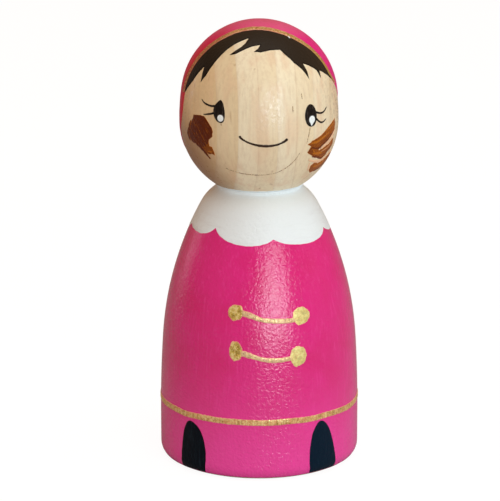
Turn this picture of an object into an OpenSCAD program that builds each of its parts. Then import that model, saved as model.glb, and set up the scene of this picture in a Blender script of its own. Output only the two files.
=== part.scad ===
// Hand-painted wooden peg doll in a hooded coat.
// Two turned pieces, a body and a head, are joined by a glued dowel at the neck.
// Each coat of paint is a thin film that follows the turned surface under it.
// Units are millimetres. The base is on z = 0 and the face looks along -y.

/* [Body] */
// Radius of the turned body at its foot
body_radius = 20.1; // [14:0.1:28]
// Rounding of the lower edge
base_round = 2.5; // [0.5:0.1:5]
// Height of the straight wall above the base
foot_height = 8.6; // [5:0.1:16]
// Radius of the long flank arc in side view
flank_radius = 250; // [150:5:400]
// Slope in degrees at which the flank arc ends
flank_slope = 3.8; // [1:0.1:6]
// Radius of the belly arc in side view
belly_radius = 67.5; // [50:0.5:90]
// Slope in degrees at which the belly arc ends
belly_slope = 28.2; // [20:0.1:34]
// Radius of the rounded shoulder under the neck
shoulder_radius = 9; // [6:0.1:12]
// Radius of the flat face where head and body meet
neck_radius = 7.9; // [6.5:0.1:9]

/* [Head] */
// Radius of the head where it is widest
head_radius = 15.9; // [12:0.1:20]
// Radius of the chin arc in side view
chin_radius = 15.5; // [11:0.1:15.8]
// Radius of the cheek arc above the widest point
cheek_side_radius = 48; // [30:1:90]
// Radius of the rounded crown
crown_radius = 15.6; // [10:0.1:15.8]

/* [Neck dowel] */
// Diameter of the dowel
dowel_diameter = 8; // [4:0.5:10]
// Length of the dowel
dowel_length = 24; // [12:0.5:32]
// Chamfer at both ends of the dowel
dowel_chamfer = 0.8; // [0.2:0.1:1.5]
// Room for glue around the dowel
glue_line = 0.1; // [0.05:0.01:0.3]
// Extra depth of each bore beyond the dowel end
bore_spare_depth = 0.5; // [0.1:0.1:2]

/* [Paint films] */
// Thickness of the pink coat film
coat_film = 0.15; // [0.1:0.01:0.4]
// Thickness of the white collar film
collar_film = 0.2; // [0.1:0.01:0.4]
// Thickness of the pink hood film
hood_film = 0.15; // [0.1:0.01:0.4]
// Thickness of the hair film
hair_film = 0.15; // [0.1:0.01:0.4]
// Thickness of the gold lines
gold_film = 0.14; // [0.1:0.01:0.4]
// Thickness of the boots and the eyes
dark_film = 0.12; // [0.1:0.01:0.4]
// Thickness of the thin strokes on the face
stroke_film = 0.1; // [0.1:0.01:0.3]

/* [Coat and hem] */
// Height at which the coat paint starts above the base
paint_start = 0.6; // [0.3:0.1:1.5]
// Height of the gold hem line
hem_height = 12.4; // [6:0.1:20]
// Width of the gold hem line
hem_width = 1.2; // [0.4:0.05:3]

/* [Collar] */
// Number of scallops around the collar
scallop_count = 7; // [5:1:12]
// Height of the lowest point of each scallop
collar_low_height = 47; // [40:0.1:50]
// Radius of a scallop seen from the front
scallop_radius = 11.5; // [9:0.1:16]
// Turn in degrees of the first scallop from the front
scallop_turn = 32.2; // [0:0.1:60]
// Bare ring between the collar and the neck joint
collar_neck_gap = 0.3; // [0.1:0.05:1]

/* [Frogs] */
// Height of the upper pair of buttons
upper_frog_height = 34.2; // [28:0.1:40]
// Height of the lower pair of buttons
lower_frog_height = 26.5; // [16:0.1:30]
// Turn in degrees of each upper button from the front
upper_button_turn = 20.7; // [8:0.1:40]
// Turn in degrees of each lower button from the front
lower_button_turn = 19.4; // [8:0.1:40]
// Drop from the left button to the right button of a pair
frog_drop = 1; // [-2:0.1:2]
// Width of an upper button
upper_button_width = 3.4; // [1.5:0.1:5]
// Height of an upper button
upper_button_height = 3.2; // [1.5:0.1:5]
// Width of a lower button
lower_button_width = 3.1; // [1.5:0.1:5]
// Height of a lower button
lower_button_height = 3.9; // [1.5:0.1:5]
// Width of a gold cord
cord_width = 1; // [0.4:0.05:2]
// Drop of a cord at its middle
cord_drop = 1.1; // [0:0.05:3]

/* [Boots] */
// Width of a boot at the base
boot_width = 6.4; // [3:0.1:10]
// Height of a boot above the base
boot_height = 11.2; // [5:0.1:16]
// Power of the boot outline, 1 for an oval and less for a fuller shape
boot_power = 0.85; // [0.6:0.05:1]
// Turn in degrees of the left boot from the front
left_boot_turn = 46.5; // [20:0.5:70]
// Turn in degrees of the right boot from the front
right_boot_turn = 35; // [20:0.5:70]

/* [Hood and hair] */
// Distance of the hood edge in front of the axis at the crown
hood_edge_reach = 5.3; // [1:0.1:8]
// Backward lean in degrees of the hood edge
hood_lean = 6; // [0:0.5:15]
// Sideways turn in degrees of the hood edge
hood_turn = 2; // [-6:0.5:6]
// Width of the gold trim along the hood edge
trim_width = 1.3; // [0.5:0.1:3]
// Drop of the trim ends below the crown
trim_drop = 12.4; // [6:0.1:16]
// Bare ring between the hood and the neck joint
hood_neck_gap = 0.3; // [0.1:0.05:1]

/* [Face] */
// Turn in degrees of the left eye from the front
left_eye_turn = 35.5; // [20:0.5:50]
// Turn in degrees of the right eye from the front
right_eye_turn = 34; // [20:0.5:50]
// Height of the left eye above the widest point of the head
left_eye_rise = 4.3; // [0:0.1:8]
// Height of the right eye above the widest point of the head
right_eye_rise = 3.4; // [0:0.1:8]
// Width of an eye
eye_width = 2.7; // [1.5:0.1:4]
// Height of an eye
eye_height = 4.5; // [2:0.1:6]
// Diameter of the white glint in an eye
glint_diameter = 1.5; // [0.5:0.1:2]
// Drop of the glint below the middle of the eye
glint_drop = 1.2; // [0:0.1:2]
// Width of a lash at its root
lash_width = 0.4; // [0.2:0.05:0.8]
// Length of a lash
lash_length = 3; // [1:0.1:4]
// Width of the mouth from corner to corner
mouth_width = 9; // [4:0.1:12]
// Drop of the mouth at its middle
mouth_drop = 1.4; // [0:0.1:3]
// Turn in degrees of the middle of the mouth from the front
mouth_turn = -1.4; // [-10:0.1:10]
// Tilt in degrees of the mouth, right corner down
mouth_tilt = 4; // [-10:0.5:10]
// Width of the mouth line
mouth_line = 0.42; // [0.2:0.02:1]
// Distance of the mouth corners below the widest point of the head
mouth_fall = 0.8; // [-2:0.1:6]

/* [Cheeks] */
// Turn in degrees of the left cheek patch from the front
left_cheek_turn = 51.5; // [30:0.5:60]
// Turn in degrees of the right cheek patch from the front
right_cheek_turn = 48; // [30:0.5:60]
// Width of a cheek patch
cheek_width = 6.4; // [3:0.1:9]
// Height of a cheek patch
cheek_height = 8.6; // [3:0.1:10]
// Distance of the left cheek middle below the widest point of the head
left_cheek_fall = 1.3; // [-2:0.1:4]
// Distance of the right cheek middle below the widest point of the head
right_cheek_fall = 3.7; // [-2:0.1:5]

/* [Hidden] */
$fn = 48;
wood = "BurlyWood";
pink = "MediumVioletRed";
gold = "Goldenrod";
white = "White";
dark = "DarkSlateGray";
brown = "Sienna";

// Counts of steps in the arcs of the turned outlines and in a curved stroke
round_count = 4;
flank_count = 2;
belly_count = 9;
shoulder_count = 4;
chin_count = 9;
side_count = 2;
crown_count = 11;
stroke_count = 10;
// Angle by which the wedges of neighbouring scallops lap
scallop_lap = 2;
// Overrun of every cut past the solid that it cuts
overrun = 1;

// Centres of the body arcs and the height of the neck
flank_x = body_radius - flank_radius;
belly_x = flank_x + (flank_radius - belly_radius) * cos(flank_slope);
belly_z = foot_height + (flank_radius - belly_radius) * sin(flank_slope);
shoulder_x = belly_x + (belly_radius - shoulder_radius) * cos(belly_slope);
shoulder_z = belly_z + (belly_radius - shoulder_radius) * sin(belly_slope);
neck_slope = acos((neck_radius - shoulder_x) / shoulder_radius);
neck_z = shoulder_z + shoulder_radius * sin(neck_slope);

// Centres of the head arcs and the height of the crown
chin_x = head_radius - chin_radius;
chin_slope = asin(sqrt(pow(chin_radius, 2) - pow(neck_radius - chin_x, 2)) / chin_radius);
widest_z = neck_z + chin_radius * sin(chin_slope);
side_x = head_radius - cheek_side_radius;
side_slope = acos(-side_x / (cheek_side_radius - crown_radius));
crown_centre_z = widest_z + (cheek_side_radius - crown_radius) * sin(side_slope);
crown_z = crown_centre_z + crown_radius;

// Heights and widths that several pieces follow
bore_radius = dowel_diameter / 2 + glue_line;
bore_depth = dowel_length / 2 + bore_spare_depth;
frog_radius = body_radius + coat_film;
mouth_z = widest_z - mouth_fall;
trim_end_z = crown_z - trim_drop;
outer_reach = body_radius + head_radius;

// Fringe of the hair from the left temple to the right, as x and height above the
// middle of the crown arc, both as shares of the head radius
fringe_shares = [
    [-1.02, 0.12], [-0.86, 0.30], [-0.72, 0.49], [-0.77, 0.33], [-0.72, 0.42], [-0.46, 0.70],
    [-0.18, 0.84], [-0.42, 0.65], [-0.05, 0.77], [-0.13, 0.70], [0.20, 0.72], [0.38, 0.54],
    [0.56, 0.38], [0.49, 0.55], [0.71, 0.37], [0.69, 0.44], [0.90, 0.26], [1.02, 0.26]
];
// Outline of the left cheek patch as shares of its half width and half height
left_cheek_shares = [
    [-0.74, 0.91], [0.13, 0.97], [0.57, 0.76], [1.00, 0.41], [0.98, 0.12], [0.67, -0.11],
    [0.71, -0.38], [0.98, -0.78], [0.49, -1.00], [-0.58, -0.43], [-1.22, -0.20], [-1.14, 0.23]
];
// Outlines of the three strokes of the right cheek patch in the same shares
right_cheek_shares = [
    [[1.45, 1.05], [1.50, 0.76], [0.59, 0.36], [-0.20, 0.06], [-1.06, -0.26], [-1.31, 0.30],
        [-0.56, 0.57], [0.11, 0.76]],
    [[-0.14, -0.03], [1.16, 0.05], [1.19, -0.30], [0.15, -0.65], [-0.96, -0.28]],
    [[-0.54, -0.84], [0.37, -0.86], [1.60, -0.66], [1.12, -1.04], [0.11, -1.20]]
];
// Height of the root, middle and tip of each lash above the middle of the eye as shares
// of the eye height, for the left eye and then the right eye, the upper lash first
lash_shares = [
    [[0.23, 0.23, 0.36], [-0.08, -0.17, -0.22]],
    [[0.05, -0.03, 0.14], [-0.26, -0.44, -0.36]]
];

// Points of an arc from one angle to another
function arc(centre, radius, from, to, count) = [
    for (i = [0 : count])
        let (angle = from + (to - from) * i / count)
        centre + radius * [cos(angle), sin(angle)]
];

function reversed(list) = [for (i = [len(list) - 1 : -1 : 0]) list[i]];

function without_first(list) = [for (i = [1 : len(list) - 1]) list[i]];

// Turned outline of the body, moved outward by a film thickness
function body_line(film) = concat(
    arc([body_radius - base_round, base_round], base_round + film, -90, 0, round_count),
    arc([flank_x, foot_height], flank_radius + film, 0, flank_slope, flank_count),
    without_first(arc([belly_x, belly_z], belly_radius + film, flank_slope, belly_slope, belly_count)),
    without_first(arc([shoulder_x, shoulder_z], shoulder_radius + film, belly_slope, neck_slope, shoulder_count))
);

// Turned outline of the head, moved outward by a film thickness
function head_line(film) = concat(
    arc([chin_x, widest_z], chin_radius + film, -chin_slope, 0, chin_count),
    without_first(arc([side_x, widest_z], cheek_side_radius + film, 0, side_slope, side_count)),
    without_first(arc([0, crown_centre_z], crown_radius + film, side_slope, 90, crown_count))
);

// Cosine or sine taken to a power with its sign kept
function powered(value, power) = sign(value) * pow(abs(value), power);

// Points of an oval of a given width and height
function oval(width, height, count = 24) = [
    for (i = [0 : count - 1])
        let (angle = 360 * i / count)
        [width / 2 * cos(angle), height / 2 * sin(angle)]
];

// Points of an arch of a given width and height, fuller than an oval if power is under 1
function arch(width, height, power, count = 16) = [
    for (i = [0 : count])
        let (angle = 180 * i / count)
        [width / 2 * powered(cos(angle), power), height * powered(sin(angle), power)]
];

// Points of a hanging curve between two points of equal height
function hanging(half_span, drop) = [
    for (i = [-stroke_count / 2 : stroke_count / 2])
        let (along = 2 * i / stroke_count)
        [half_span * along, drop * (along * along - 1)]
];

// Direction square to a line of points at one of them
function square_to(points, i) =
    let (
        before = points[max(i - 1, 0)],
        after = points[min(i + 1, len(points) - 1)],
        run = after - before
    )
    [-run[1], run[0]] / norm(run);

// Outline of a brush stroke along a line of points, with a width at each end
function stroke(points, start_width, end_width) =
    let (
        last = len(points) - 1,
        half = [for (i = [0 : last]) (start_width + (end_width - start_width) * i / last) / 2],
        left = [for (i = [0 : last]) points[i] + half[i] * square_to(points, i)],
        right = [for (i = [0 : last]) points[i] - half[i] * square_to(points, i)]
    )
    concat(left, reversed(right));

// Solid turned from an outline that starts and ends off the axis
module turned(line) {
    rotate_extrude()
        polygon(concat([[0, line[0][1]]], line, [[0, line[len(line) - 1][1]]]));
}

// Film of paint on the body between two distances from the wood
module body_layer(inner, outer) {
    rotate_extrude()
        polygon(concat(body_line(inner), reversed(body_line(outer))));
}

// Film of paint on the head between two distances from the wood
module head_layer(inner, outer) {
    rotate_extrude()
        polygon(concat(head_line(inner), reversed(head_line(outer))));
}

// Shape drawn in front view, pushed outward from the axis at a turn and a height
module facing(turn, height) {
    translate([0, 0, height])
        rotate([90, 0, turn])
            linear_extrude(outer_reach)
                children();
}

// Everything between two heights
module slice(low, high) {
    translate([0, 0, low])
        cylinder(r = outer_reach, h = high - low);
}

// Everything behind the leaning hood edge, moved back by a distance
module behind_hood_edge(back) {
    translate([0, back - hood_edge_reach, crown_z])
        rotate([hood_lean, 0, -hood_turn])
            translate([-outer_reach, 0, -2 * outer_reach])
                cube([2 * outer_reach, 2 * outer_reach, 3 * outer_reach]);
}

// Wedge of the space round the axis that one scallop fills, a little past its neighbours
module scallop_wedge(turn) {
    half = 180 / scallop_count + scallop_lap;
    near = neck_radius / 2;
    translate([0, 0, collar_low_height - overrun])
        rotate([0, 0, turn])
            linear_extrude(outer_reach)
                polygon([
                    [-near * sin(half), -near * cos(half)],
                    [near * sin(half), -near * cos(half)],
                    [outer_reach * sin(half), -outer_reach * cos(half)],
                    [-outer_reach * sin(half), -outer_reach * cos(half)]
                ]);
}

// Everything inside the scalloped edge of the collar
module scallops() {
    for (i = [0 : scallop_count - 1])
        let (turn = scallop_turn + i * 360 / scallop_count)
            intersection() {
                facing(turn, collar_low_height + scallop_radius)
                    circle(r = scallop_radius);
                scallop_wedge(turn);
            }
}

// Bore for the neck dowel, with the same centre in head and body
module dowel_bore() {
    translate([0, 0, neck_z - bore_depth])
        cylinder(r = bore_radius, h = 2 * bore_depth);
}

module body() {
    color(wood)
        difference() {
            turned(body_line(0));
            dowel_bore();
        }
}

module head() {
    color(wood)
        difference() {
            turned(head_line(0));
            dowel_bore();
        }
}

module neck_dowel() {
    flat = dowel_diameter / 2 - dowel_chamfer;
    half = dowel_length / 2;
    color(wood)
        translate([0, 0, neck_z])
            rotate_extrude()
                polygon([
                    [0, -half],
                    [flat, -half],
                    [dowel_diameter / 2, dowel_chamfer - half],
                    [dowel_diameter / 2, half - dowel_chamfer],
                    [flat, half],
                    [0, half]
                ]);
}

module coat() {
    color(pink)
        difference() {
            body_layer(0, coat_film);
            slice(-overrun, paint_start);
            slice(neck_z - collar_neck_gap, neck_z + overrun);
            scallops();
        }
}

module collar() {
    color(white)
        difference() {
            intersection() {
                body_layer(0, collar_film);
                scallops();
            }
            slice(neck_z - collar_neck_gap, neck_z + overrun);
        }
}

module hem_band() {
    color(gold)
        intersection() {
            body_layer(coat_film, coat_film + gold_film);
            slice(hem_height - hem_width / 2, hem_height + hem_width / 2);
        }
}

// Outline of one button of a frog, placed where the film is cut
module button_cut(side, turn, height, width, tall) {
    facing(side * turn, height - side * frog_drop / 2)
        polygon(oval(width, tall));
}

// Both buttons of one frog
module button_pair(turn, height, width, tall) {
    color(gold)
        for (side = [-1, 1])
            intersection() {
                body_layer(coat_film, coat_film + gold_film);
                button_cut(side, turn, height, width, tall);
            }
}

// Cord of one frog, ending at the rims of its buttons
module frog_cord(turn, height, width, tall) {
    half_span = frog_radius * sin(turn);
    color(gold)
        difference() {
            intersection() {
                body_layer(coat_film, coat_film + gold_film);
                facing(0, height)
                    rotate(-atan(frog_drop / 2 / half_span))
                        polygon(stroke(hanging(half_span, cord_drop), cord_width, cord_width));
            }
            for (side = [-1, 1])
                button_cut(side, turn, height, width, tall);
        }
}

module upper_buttons() {
    button_pair(upper_button_turn, upper_frog_height, upper_button_width, upper_button_height);
}

module lower_buttons() {
    button_pair(lower_button_turn, lower_frog_height, lower_button_width, lower_button_height);
}

module upper_cord() {
    frog_cord(upper_button_turn, upper_frog_height, upper_button_width, upper_button_height);
}

module lower_cord() {
    frog_cord(lower_button_turn, lower_frog_height, lower_button_width, lower_button_height);
}

// One boot, an arch that stands on the lower edge of the coat
module boot(turn) {
    color(dark)
        intersection() {
            body_layer(coat_film, coat_film + dark_film);
            facing(turn, 0)
                polygon(arch(boot_width, boot_height, boot_power));
            slice(paint_start, boot_height + overrun);
        }
}

module left_boot() {
    boot(-left_boot_turn);
}

module right_boot() {
    boot(right_boot_turn);
}

module hood() {
    color(pink)
        intersection() {
            head_layer(0, hood_film);
            behind_hood_edge(0);
            slice(neck_z + hood_neck_gap, crown_z + overrun);
        }
}

module hood_trim() {
    color(gold)
        difference() {
            intersection() {
                head_layer(hood_film, hood_film + gold_film);
                behind_hood_edge(0);
                slice(trim_end_z, crown_z + overrun);
            }
            behind_hood_edge(trim_width);
        }
}

// Hair from the hood edge down to the fringe
module hair() {
    color(dark)
        difference() {
            intersection() {
                head_layer(0, hair_film);
                facing(0, crown_centre_z)
                    polygon(concat(
                        head_radius * fringe_shares,
                        [[outer_reach, outer_reach], [-outer_reach, outer_reach]]
                    ));
            }
            behind_hood_edge(0);
        }
}

// Place of an eye on the head, seen along its own direction
module at_eye(side, fall = 0) {
    turn = side < 0 ? -left_eye_turn : right_eye_turn;
    rise = side < 0 ? left_eye_rise : right_eye_rise;
    facing(turn, widest_z + rise - fall)
        children();
}

module eye(side) {
    color(dark)
        intersection() {
            head_layer(0, dark_film);
            at_eye(side)
                polygon(oval(eye_width, eye_height));
        }
}

module left_eye() {
    eye(-1);
}

module right_eye() {
    eye(1);
}

// White dot on the lower half of an eye
module glint(side) {
    color(white)
        intersection() {
            head_layer(dark_film, dark_film + stroke_film);
            at_eye(side, glint_drop)
                circle(d = glint_diameter);
        }
}

module left_glint() {
    glint(-1);
}

module right_glint() {
    glint(1);
}

// Outer lashes of one eye, thin strokes that start at its rim
module lashes(side, shares) {
    across = [0, eye_width / 2 + lash_length / 2, eye_width / 2 + lash_length];
    color(dark)
        difference() {
            intersection() {
                head_layer(0, stroke_film);
                at_eye(side)
                    for (lash = shares)
                        polygon(stroke(
                            [for (i = [0 : len(lash) - 1]) [side * across[i], lash[i] * eye_height]],
                            lash_width,
                            lash_width / 2
                        ));
            }
            at_eye(side)
                polygon(oval(eye_width, eye_height));
        }
}

module left_lashes() {
    lashes(-1, lash_shares[0]);
}

module right_lashes() {
    lashes(1, lash_shares[1]);
}

module mouth() {
    color(dark)
        intersection() {
            head_layer(0, stroke_film);
            facing(mouth_turn, mouth_z)
                rotate(-mouth_tilt)
                    polygon(stroke(hanging(mouth_width / 2, mouth_drop), mouth_line, mouth_line));
        }
}

// Patch of cheek paint from one or more outlines given in shares
module cheek(turn, fall, outlines) {
    color(brown)
        intersection() {
            head_layer(0, stroke_film);
            facing(turn, widest_z - fall)
                for (outline = outlines)
                    polygon([for (p = outline) [p[0] * cheek_width / 2, p[1] * cheek_height / 2]]);
        }
}

module left_cheek() {
    cheek(-left_cheek_turn, left_cheek_fall, [left_cheek_shares]);
}

module right_cheek() {
    cheek(right_cheek_turn, right_cheek_fall, right_cheek_shares);
}

body();
head();
neck_dowel();
coat();
collar();
hem_band();
upper_buttons();
upper_cord();
lower_buttons();
lower_cord();
left_boot();
right_boot();
hood();
hood_trim();
hair();
left_eye();
right_eye();
left_glint();
right_glint();
left_lashes();
right_lashes();
mouth();
left_cheek();
right_cheek();
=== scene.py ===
"""Peg doll of turned wood with a hand-painted hooded coat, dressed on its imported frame."""

import math
from collections import namedtuple

import bmesh
import bpy
import numpy as np
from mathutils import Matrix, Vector, geometry, noise


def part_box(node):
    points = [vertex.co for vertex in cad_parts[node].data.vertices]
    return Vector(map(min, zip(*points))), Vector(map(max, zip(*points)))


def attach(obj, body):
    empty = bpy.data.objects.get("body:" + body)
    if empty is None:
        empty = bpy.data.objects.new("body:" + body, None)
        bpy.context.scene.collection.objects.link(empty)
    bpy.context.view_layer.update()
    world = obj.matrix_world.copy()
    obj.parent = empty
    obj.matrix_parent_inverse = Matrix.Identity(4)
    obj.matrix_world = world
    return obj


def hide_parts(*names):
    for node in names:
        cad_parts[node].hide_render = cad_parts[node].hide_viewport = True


bl_info = {
    "name": "Painted Peg Doll",
    "version": (1, 0, 0),
    "blender": (4, 5, 0),
    "location": "View3D > Sidebar > Peg Doll",
    "description": "Turned wooden peg doll with a painted coat, hood, hair and face",
    "category": "Add Mesh",
}

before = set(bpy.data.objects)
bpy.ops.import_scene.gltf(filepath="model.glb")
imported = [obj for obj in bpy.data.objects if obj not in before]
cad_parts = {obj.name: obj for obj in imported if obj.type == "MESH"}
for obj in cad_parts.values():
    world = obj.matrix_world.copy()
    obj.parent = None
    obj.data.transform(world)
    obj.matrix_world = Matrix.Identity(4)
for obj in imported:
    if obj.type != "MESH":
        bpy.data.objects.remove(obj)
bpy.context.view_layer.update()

MM = 0.001
# Smallest square of a run that a distance is still divided by
TINY = 1e-12
# Radius of the arc that stands for the straight wall, so wide that it doesn't bend
WALL_RADIUS = 50.0
# Furthest that an outline may end from the frame's node
HEIGHT_SLACK = 0.1 * MM
# Depth by which the underside of a paint film sinks into what carries it
SINK = 0.02 * MM
# Thickness that the collar and the hood leave to the ridges of the brush
RIDGE_ROOM = 0.02 * MM
# Depth by which the trim sinks into the hood's paint
TRIM_SINK = 0.03 * MM
# Gap between the collar's upper edge and the joint, and between the joint and the smear above it
COLLAR_GAP = 0.12 * MM
SMEAR_GAP = 0.04 * MM
# Share of its full thickness that a paint film has at its very edge
EDGE_SHARE = 0.35
# Places across a brush stroke, from its right edge to its left edge, as shares of half its width
ACROSS_SHARES = (-1.0, -0.85, -0.55, 0.0, 0.55, 0.85, 1.0)
# Share of half its width that a brush stroke keeps at its very end
END_SHARE = 0.08
# Wave length of a brush stroke's ragged sides
RAGGED_WAVE = 0.5 * MM
# Angles past which an edge of a film or of a turned piece stays sharp
FILM_SHARP = math.radians(50)
TURNED_SHARP = math.radians(30)
# Steps around a button and around a white dot, and mesh rows of the collar, its smear and the hem
BUTTON_STEPS = 72
GLINT_STEPS = 40
COLLAR_ROWS = 22
SMEAR_ROWS = 3
HEM_ROWS = 5
# Sweep on either side of the top within which the hood's edge is looked for, and its steps there
WIDEST_SWEEP = 175
SWEEP_STEPS = 1400
# Halvings by which a point of the hood's edge is found on the head
HALVINGS = 40
# Steps along the hood's edge, its lower end, its trim and the hair's edge under it
HOOD_STEPS = 160
LOWER_STEPS = 180
TRIM_STEPS = 220
HAIR_STEPS = 90
# Share of the trim's length at which it starts to grow thinner
TRIM_BREAK_SHARE = 0.65
# Flakes on a square millimetre of gold
FLAKE_DENSITY = 9.0
STUDIO_WHITE = (1.0, 1.0, 1.0, 1.0)
# Width of the camera's sensor in millimetres, and the picture's shift as shares of it
SENSOR_WIDTH = 36.0
SHIFT_SHARES = (-0.0184, -0.0236)
# Radius of the floor, and the brightness and share of the glow that the camera sees on it
FLOOR_RADIUS = 3.0
FLOOR_GLOW = 1.17
GLOW_SHARE = 0.8
# Lights that only brighten and leave no streak of gloss
DULL_LIGHTS = ("side", "fill")
# Directions on the doll: to the right in the picture, to the back, upward, and slanting, which
# falls from the upper right of the head to its lower left
RIGHTWARD = (1.0, 0.0, 0.0)
BACKWARD = (0.0, 1.0, 0.0)
UPWARD = (0.0, 0.0, 1.0)
SLANTING = (1.0, 0.0, 0.7)

Arc = namedtuple("Arc", "x z radius low high")
Spot = namedtuple("Spot", "radius height slope")
Wood = namedtuple("Wood", "pith roughness glaze")
Paint = namedtuple(
    "Paint", "tones streak bend strength roughness wrinkle relief rim gloss way",
    defaults=(0.035, 0.0, 0.5, UPWARD),
)
Gold = namedtuple("Gold", "tone shine breaks mottled")
Slope = namedtuple("Slope", "along low high start end")


def length(name, description, default):
    """Length setting, given in millimetres."""
    return bpy.props.FloatProperty(
        name=name, description=description, default=default * MM, min=0.0, unit="LENGTH", precision=5
    )


def angle(name, description, default):
    """Angle setting, given in degrees."""
    return bpy.props.FloatProperty(
        name=name, description=description, default=math.radians(default), subtype="ANGLE"
    )


def count(name, description, default):
    """Whole number setting."""
    return bpy.props.IntProperty(name=name, description=description, default=default, min=3)


def level(name, description, default):
    """Plain number setting."""
    return bpy.props.FloatProperty(name=name, description=description, default=default, min=0.0)


def linear(*channels):
    """Linear colour of three screen values from 0 to 255."""
    shares = [channel / 255 for channel in channels]
    return tuple(s / 12.92 if s <= 0.04045 else ((s + 0.055) / 1.055) ** 2.4 for s in shares)


def colour(name, description, *channels):
    """Colour setting, given as three screen values from 0 to 255."""
    return bpy.props.FloatVectorProperty(
        name=name, description=description, default=linear(*channels), min=0.0, max=1.0, subtype="COLOR"
    )


class WoodSettings(bpy.types.PropertyGroup):
    """Shape of the two turned pieces."""

    base_round: length("Base Round", "Rounding of the lower edge of the body", 2.5)
    foot_height: length("Foot Height", "Height of the straight wall above the base", 8.6)
    flank_radius: length("Flank Radius", "Radius of the long flank arc", 250)
    flank_slope: angle("Flank Slope", "Slope at which the flank arc ends", 3.8)
    belly_radius: length("Belly Radius", "Radius of the belly arc", 67.5)
    belly_slope: angle("Belly Slope", "Slope at which the belly arc ends", 28.2)
    shoulder_radius: length("Shoulder Radius", "Radius of the rounded shoulder", 9)
    neck_radius: length("Neck Radius", "Radius of the flat face between body and head", 7.9)
    chin_radius: length("Chin Radius", "Radius of the chin arc", 15.5)
    side_radius: length("Side Radius", "Radius of the arc above the widest point of the head", 48)
    crown_radius: length("Crown Radius", "Radius of the rounded crown", 15.6)
    bore_radius: length("Bore Radius", "Radius of the bores for the neck dowel", 4.1)
    bore_depth: length("Bore Depth", "Depth of each bore for the neck dowel", 12.5)
    arc_step: angle("Arc Step", "Turn between two points of a turned outline", 1.5)
    around: count("Steps Around", "Steps around each turned piece", 180)


class FilmSettings(bpy.types.PropertyGroup):
    """Thickness and unevenness of the paint."""

    coat: length("Coat Film", "Thickness of the pink coat film", 0.13)
    collar: length("Collar Film", "Thickness of the white collar film", 0.2)
    hood: length("Hood Film", "Thickness of the pink hood film", 0.15)
    hair: length("Hair Film", "Thickness of the hair film", 0.11)
    gold: length("Gold Film", "Thickness of the gold lines", 0.1)
    dark: length("Dark Film", "Thickness of the boots and the eyes", 0.1)
    stroke: length("Stroke Film", "Thickness of the thin strokes on the face", 0.08)
    pencil: length("Pencil Film", "Thickness of a pencil line", 0.02)
    rim: length("Rim Width", "Width of the rounded edge of a film", 0.3)
    waver: length("Edge Waver", "Waver of a hand-painted edge", 0.12)
    ridge: length("Brush Ridge", "Height of the ridges that the brush leaves", 0.014)
    fine_step: length("Fine Step", "Mesh step of the small films", 0.16)
    broad_step: length("Broad Step", "Mesh step of the hood film", 0.7)
    columns: count("Columns", "Mesh columns around the coat", 260)
    rows: count("Rows", "Mesh rows of the coat", 84)


class CoatSettings(bpy.types.PropertyGroup):
    """Sizes of the coat, its hem line and its frogs."""

    overlap: length("Overlap", "Distance that one film runs on under its neighbour", 0.5)
    hem_width: length("Hem Width", "Width of the gold hem line", 1.2)
    cord_width: length("Cord Width", "Width of a gold cord", 0.98)
    smear: length("Smear", "Height to which the white paint smears onto the head", 0.75)
    ragged: level("Ragged Rim", "Unevenness of a button's rim as a share of its radius", 0.1)


class HoodSettings(bpy.types.PropertyGroup):
    """Place of the hood's edge and its gold trim."""

    reach: length("Edge Reach", "Distance of the hood edge in front of the axis at the crown", 5.5)
    lean: angle("Edge Lean", "Backward lean of the hood edge", 6)
    turn: angle("Edge Turn", "Sideways turn of the hood edge", 2)
    trim_width: length("Trim Width", "Width of the gold trim along the hood edge", 1.3)
    trim_thinning: level("Trim Thinning", "Share of its width that the trim loses at its right end", 0.5)
    left_end: length("Left End", "Height at which the trim ends on the left", 76.2)
    right_end: length("Right End", "Height at which the trim ends on the right", 77.8)
    left_bend: length("Left Bend", "Height below which the edge turns back on the left", 73)
    right_bend: length("Right Bend", "Height below which the edge turns back on the right", 80.2)
    left_back: length("Left Back", "Distance that the edge turns back on the left", 5)
    right_back: length("Right Back", "Distance that the edge turns back on the right", 12)
    bend_reach: length("Bend Reach", "Height over which the edge turns back", 15)
    bend_ease: level("Bend Ease", "Softness with which the edge starts to turn back", 0.3)
    swell: length("Swell", "Distance that the edge swells forward on the right", 1.15)
    swell_start: angle("Swell Start", "Sweep from the top at which the swelling starts", -12)
    swell_end: angle("Swell End", "Sweep from the top at which the swelling is full", 24)


class FaceSettings(bpy.types.PropertyGroup):
    """Widths of the lines on the face."""

    lash_width: length("Lash Width", "Width of a lash at its root", 0.42)
    mouth_line: length("Mouth Line", "Width of the mouth line", 0.46)
    pencil_line: length("Pencil Line", "Width of a pencil line", 0.24)


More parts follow.
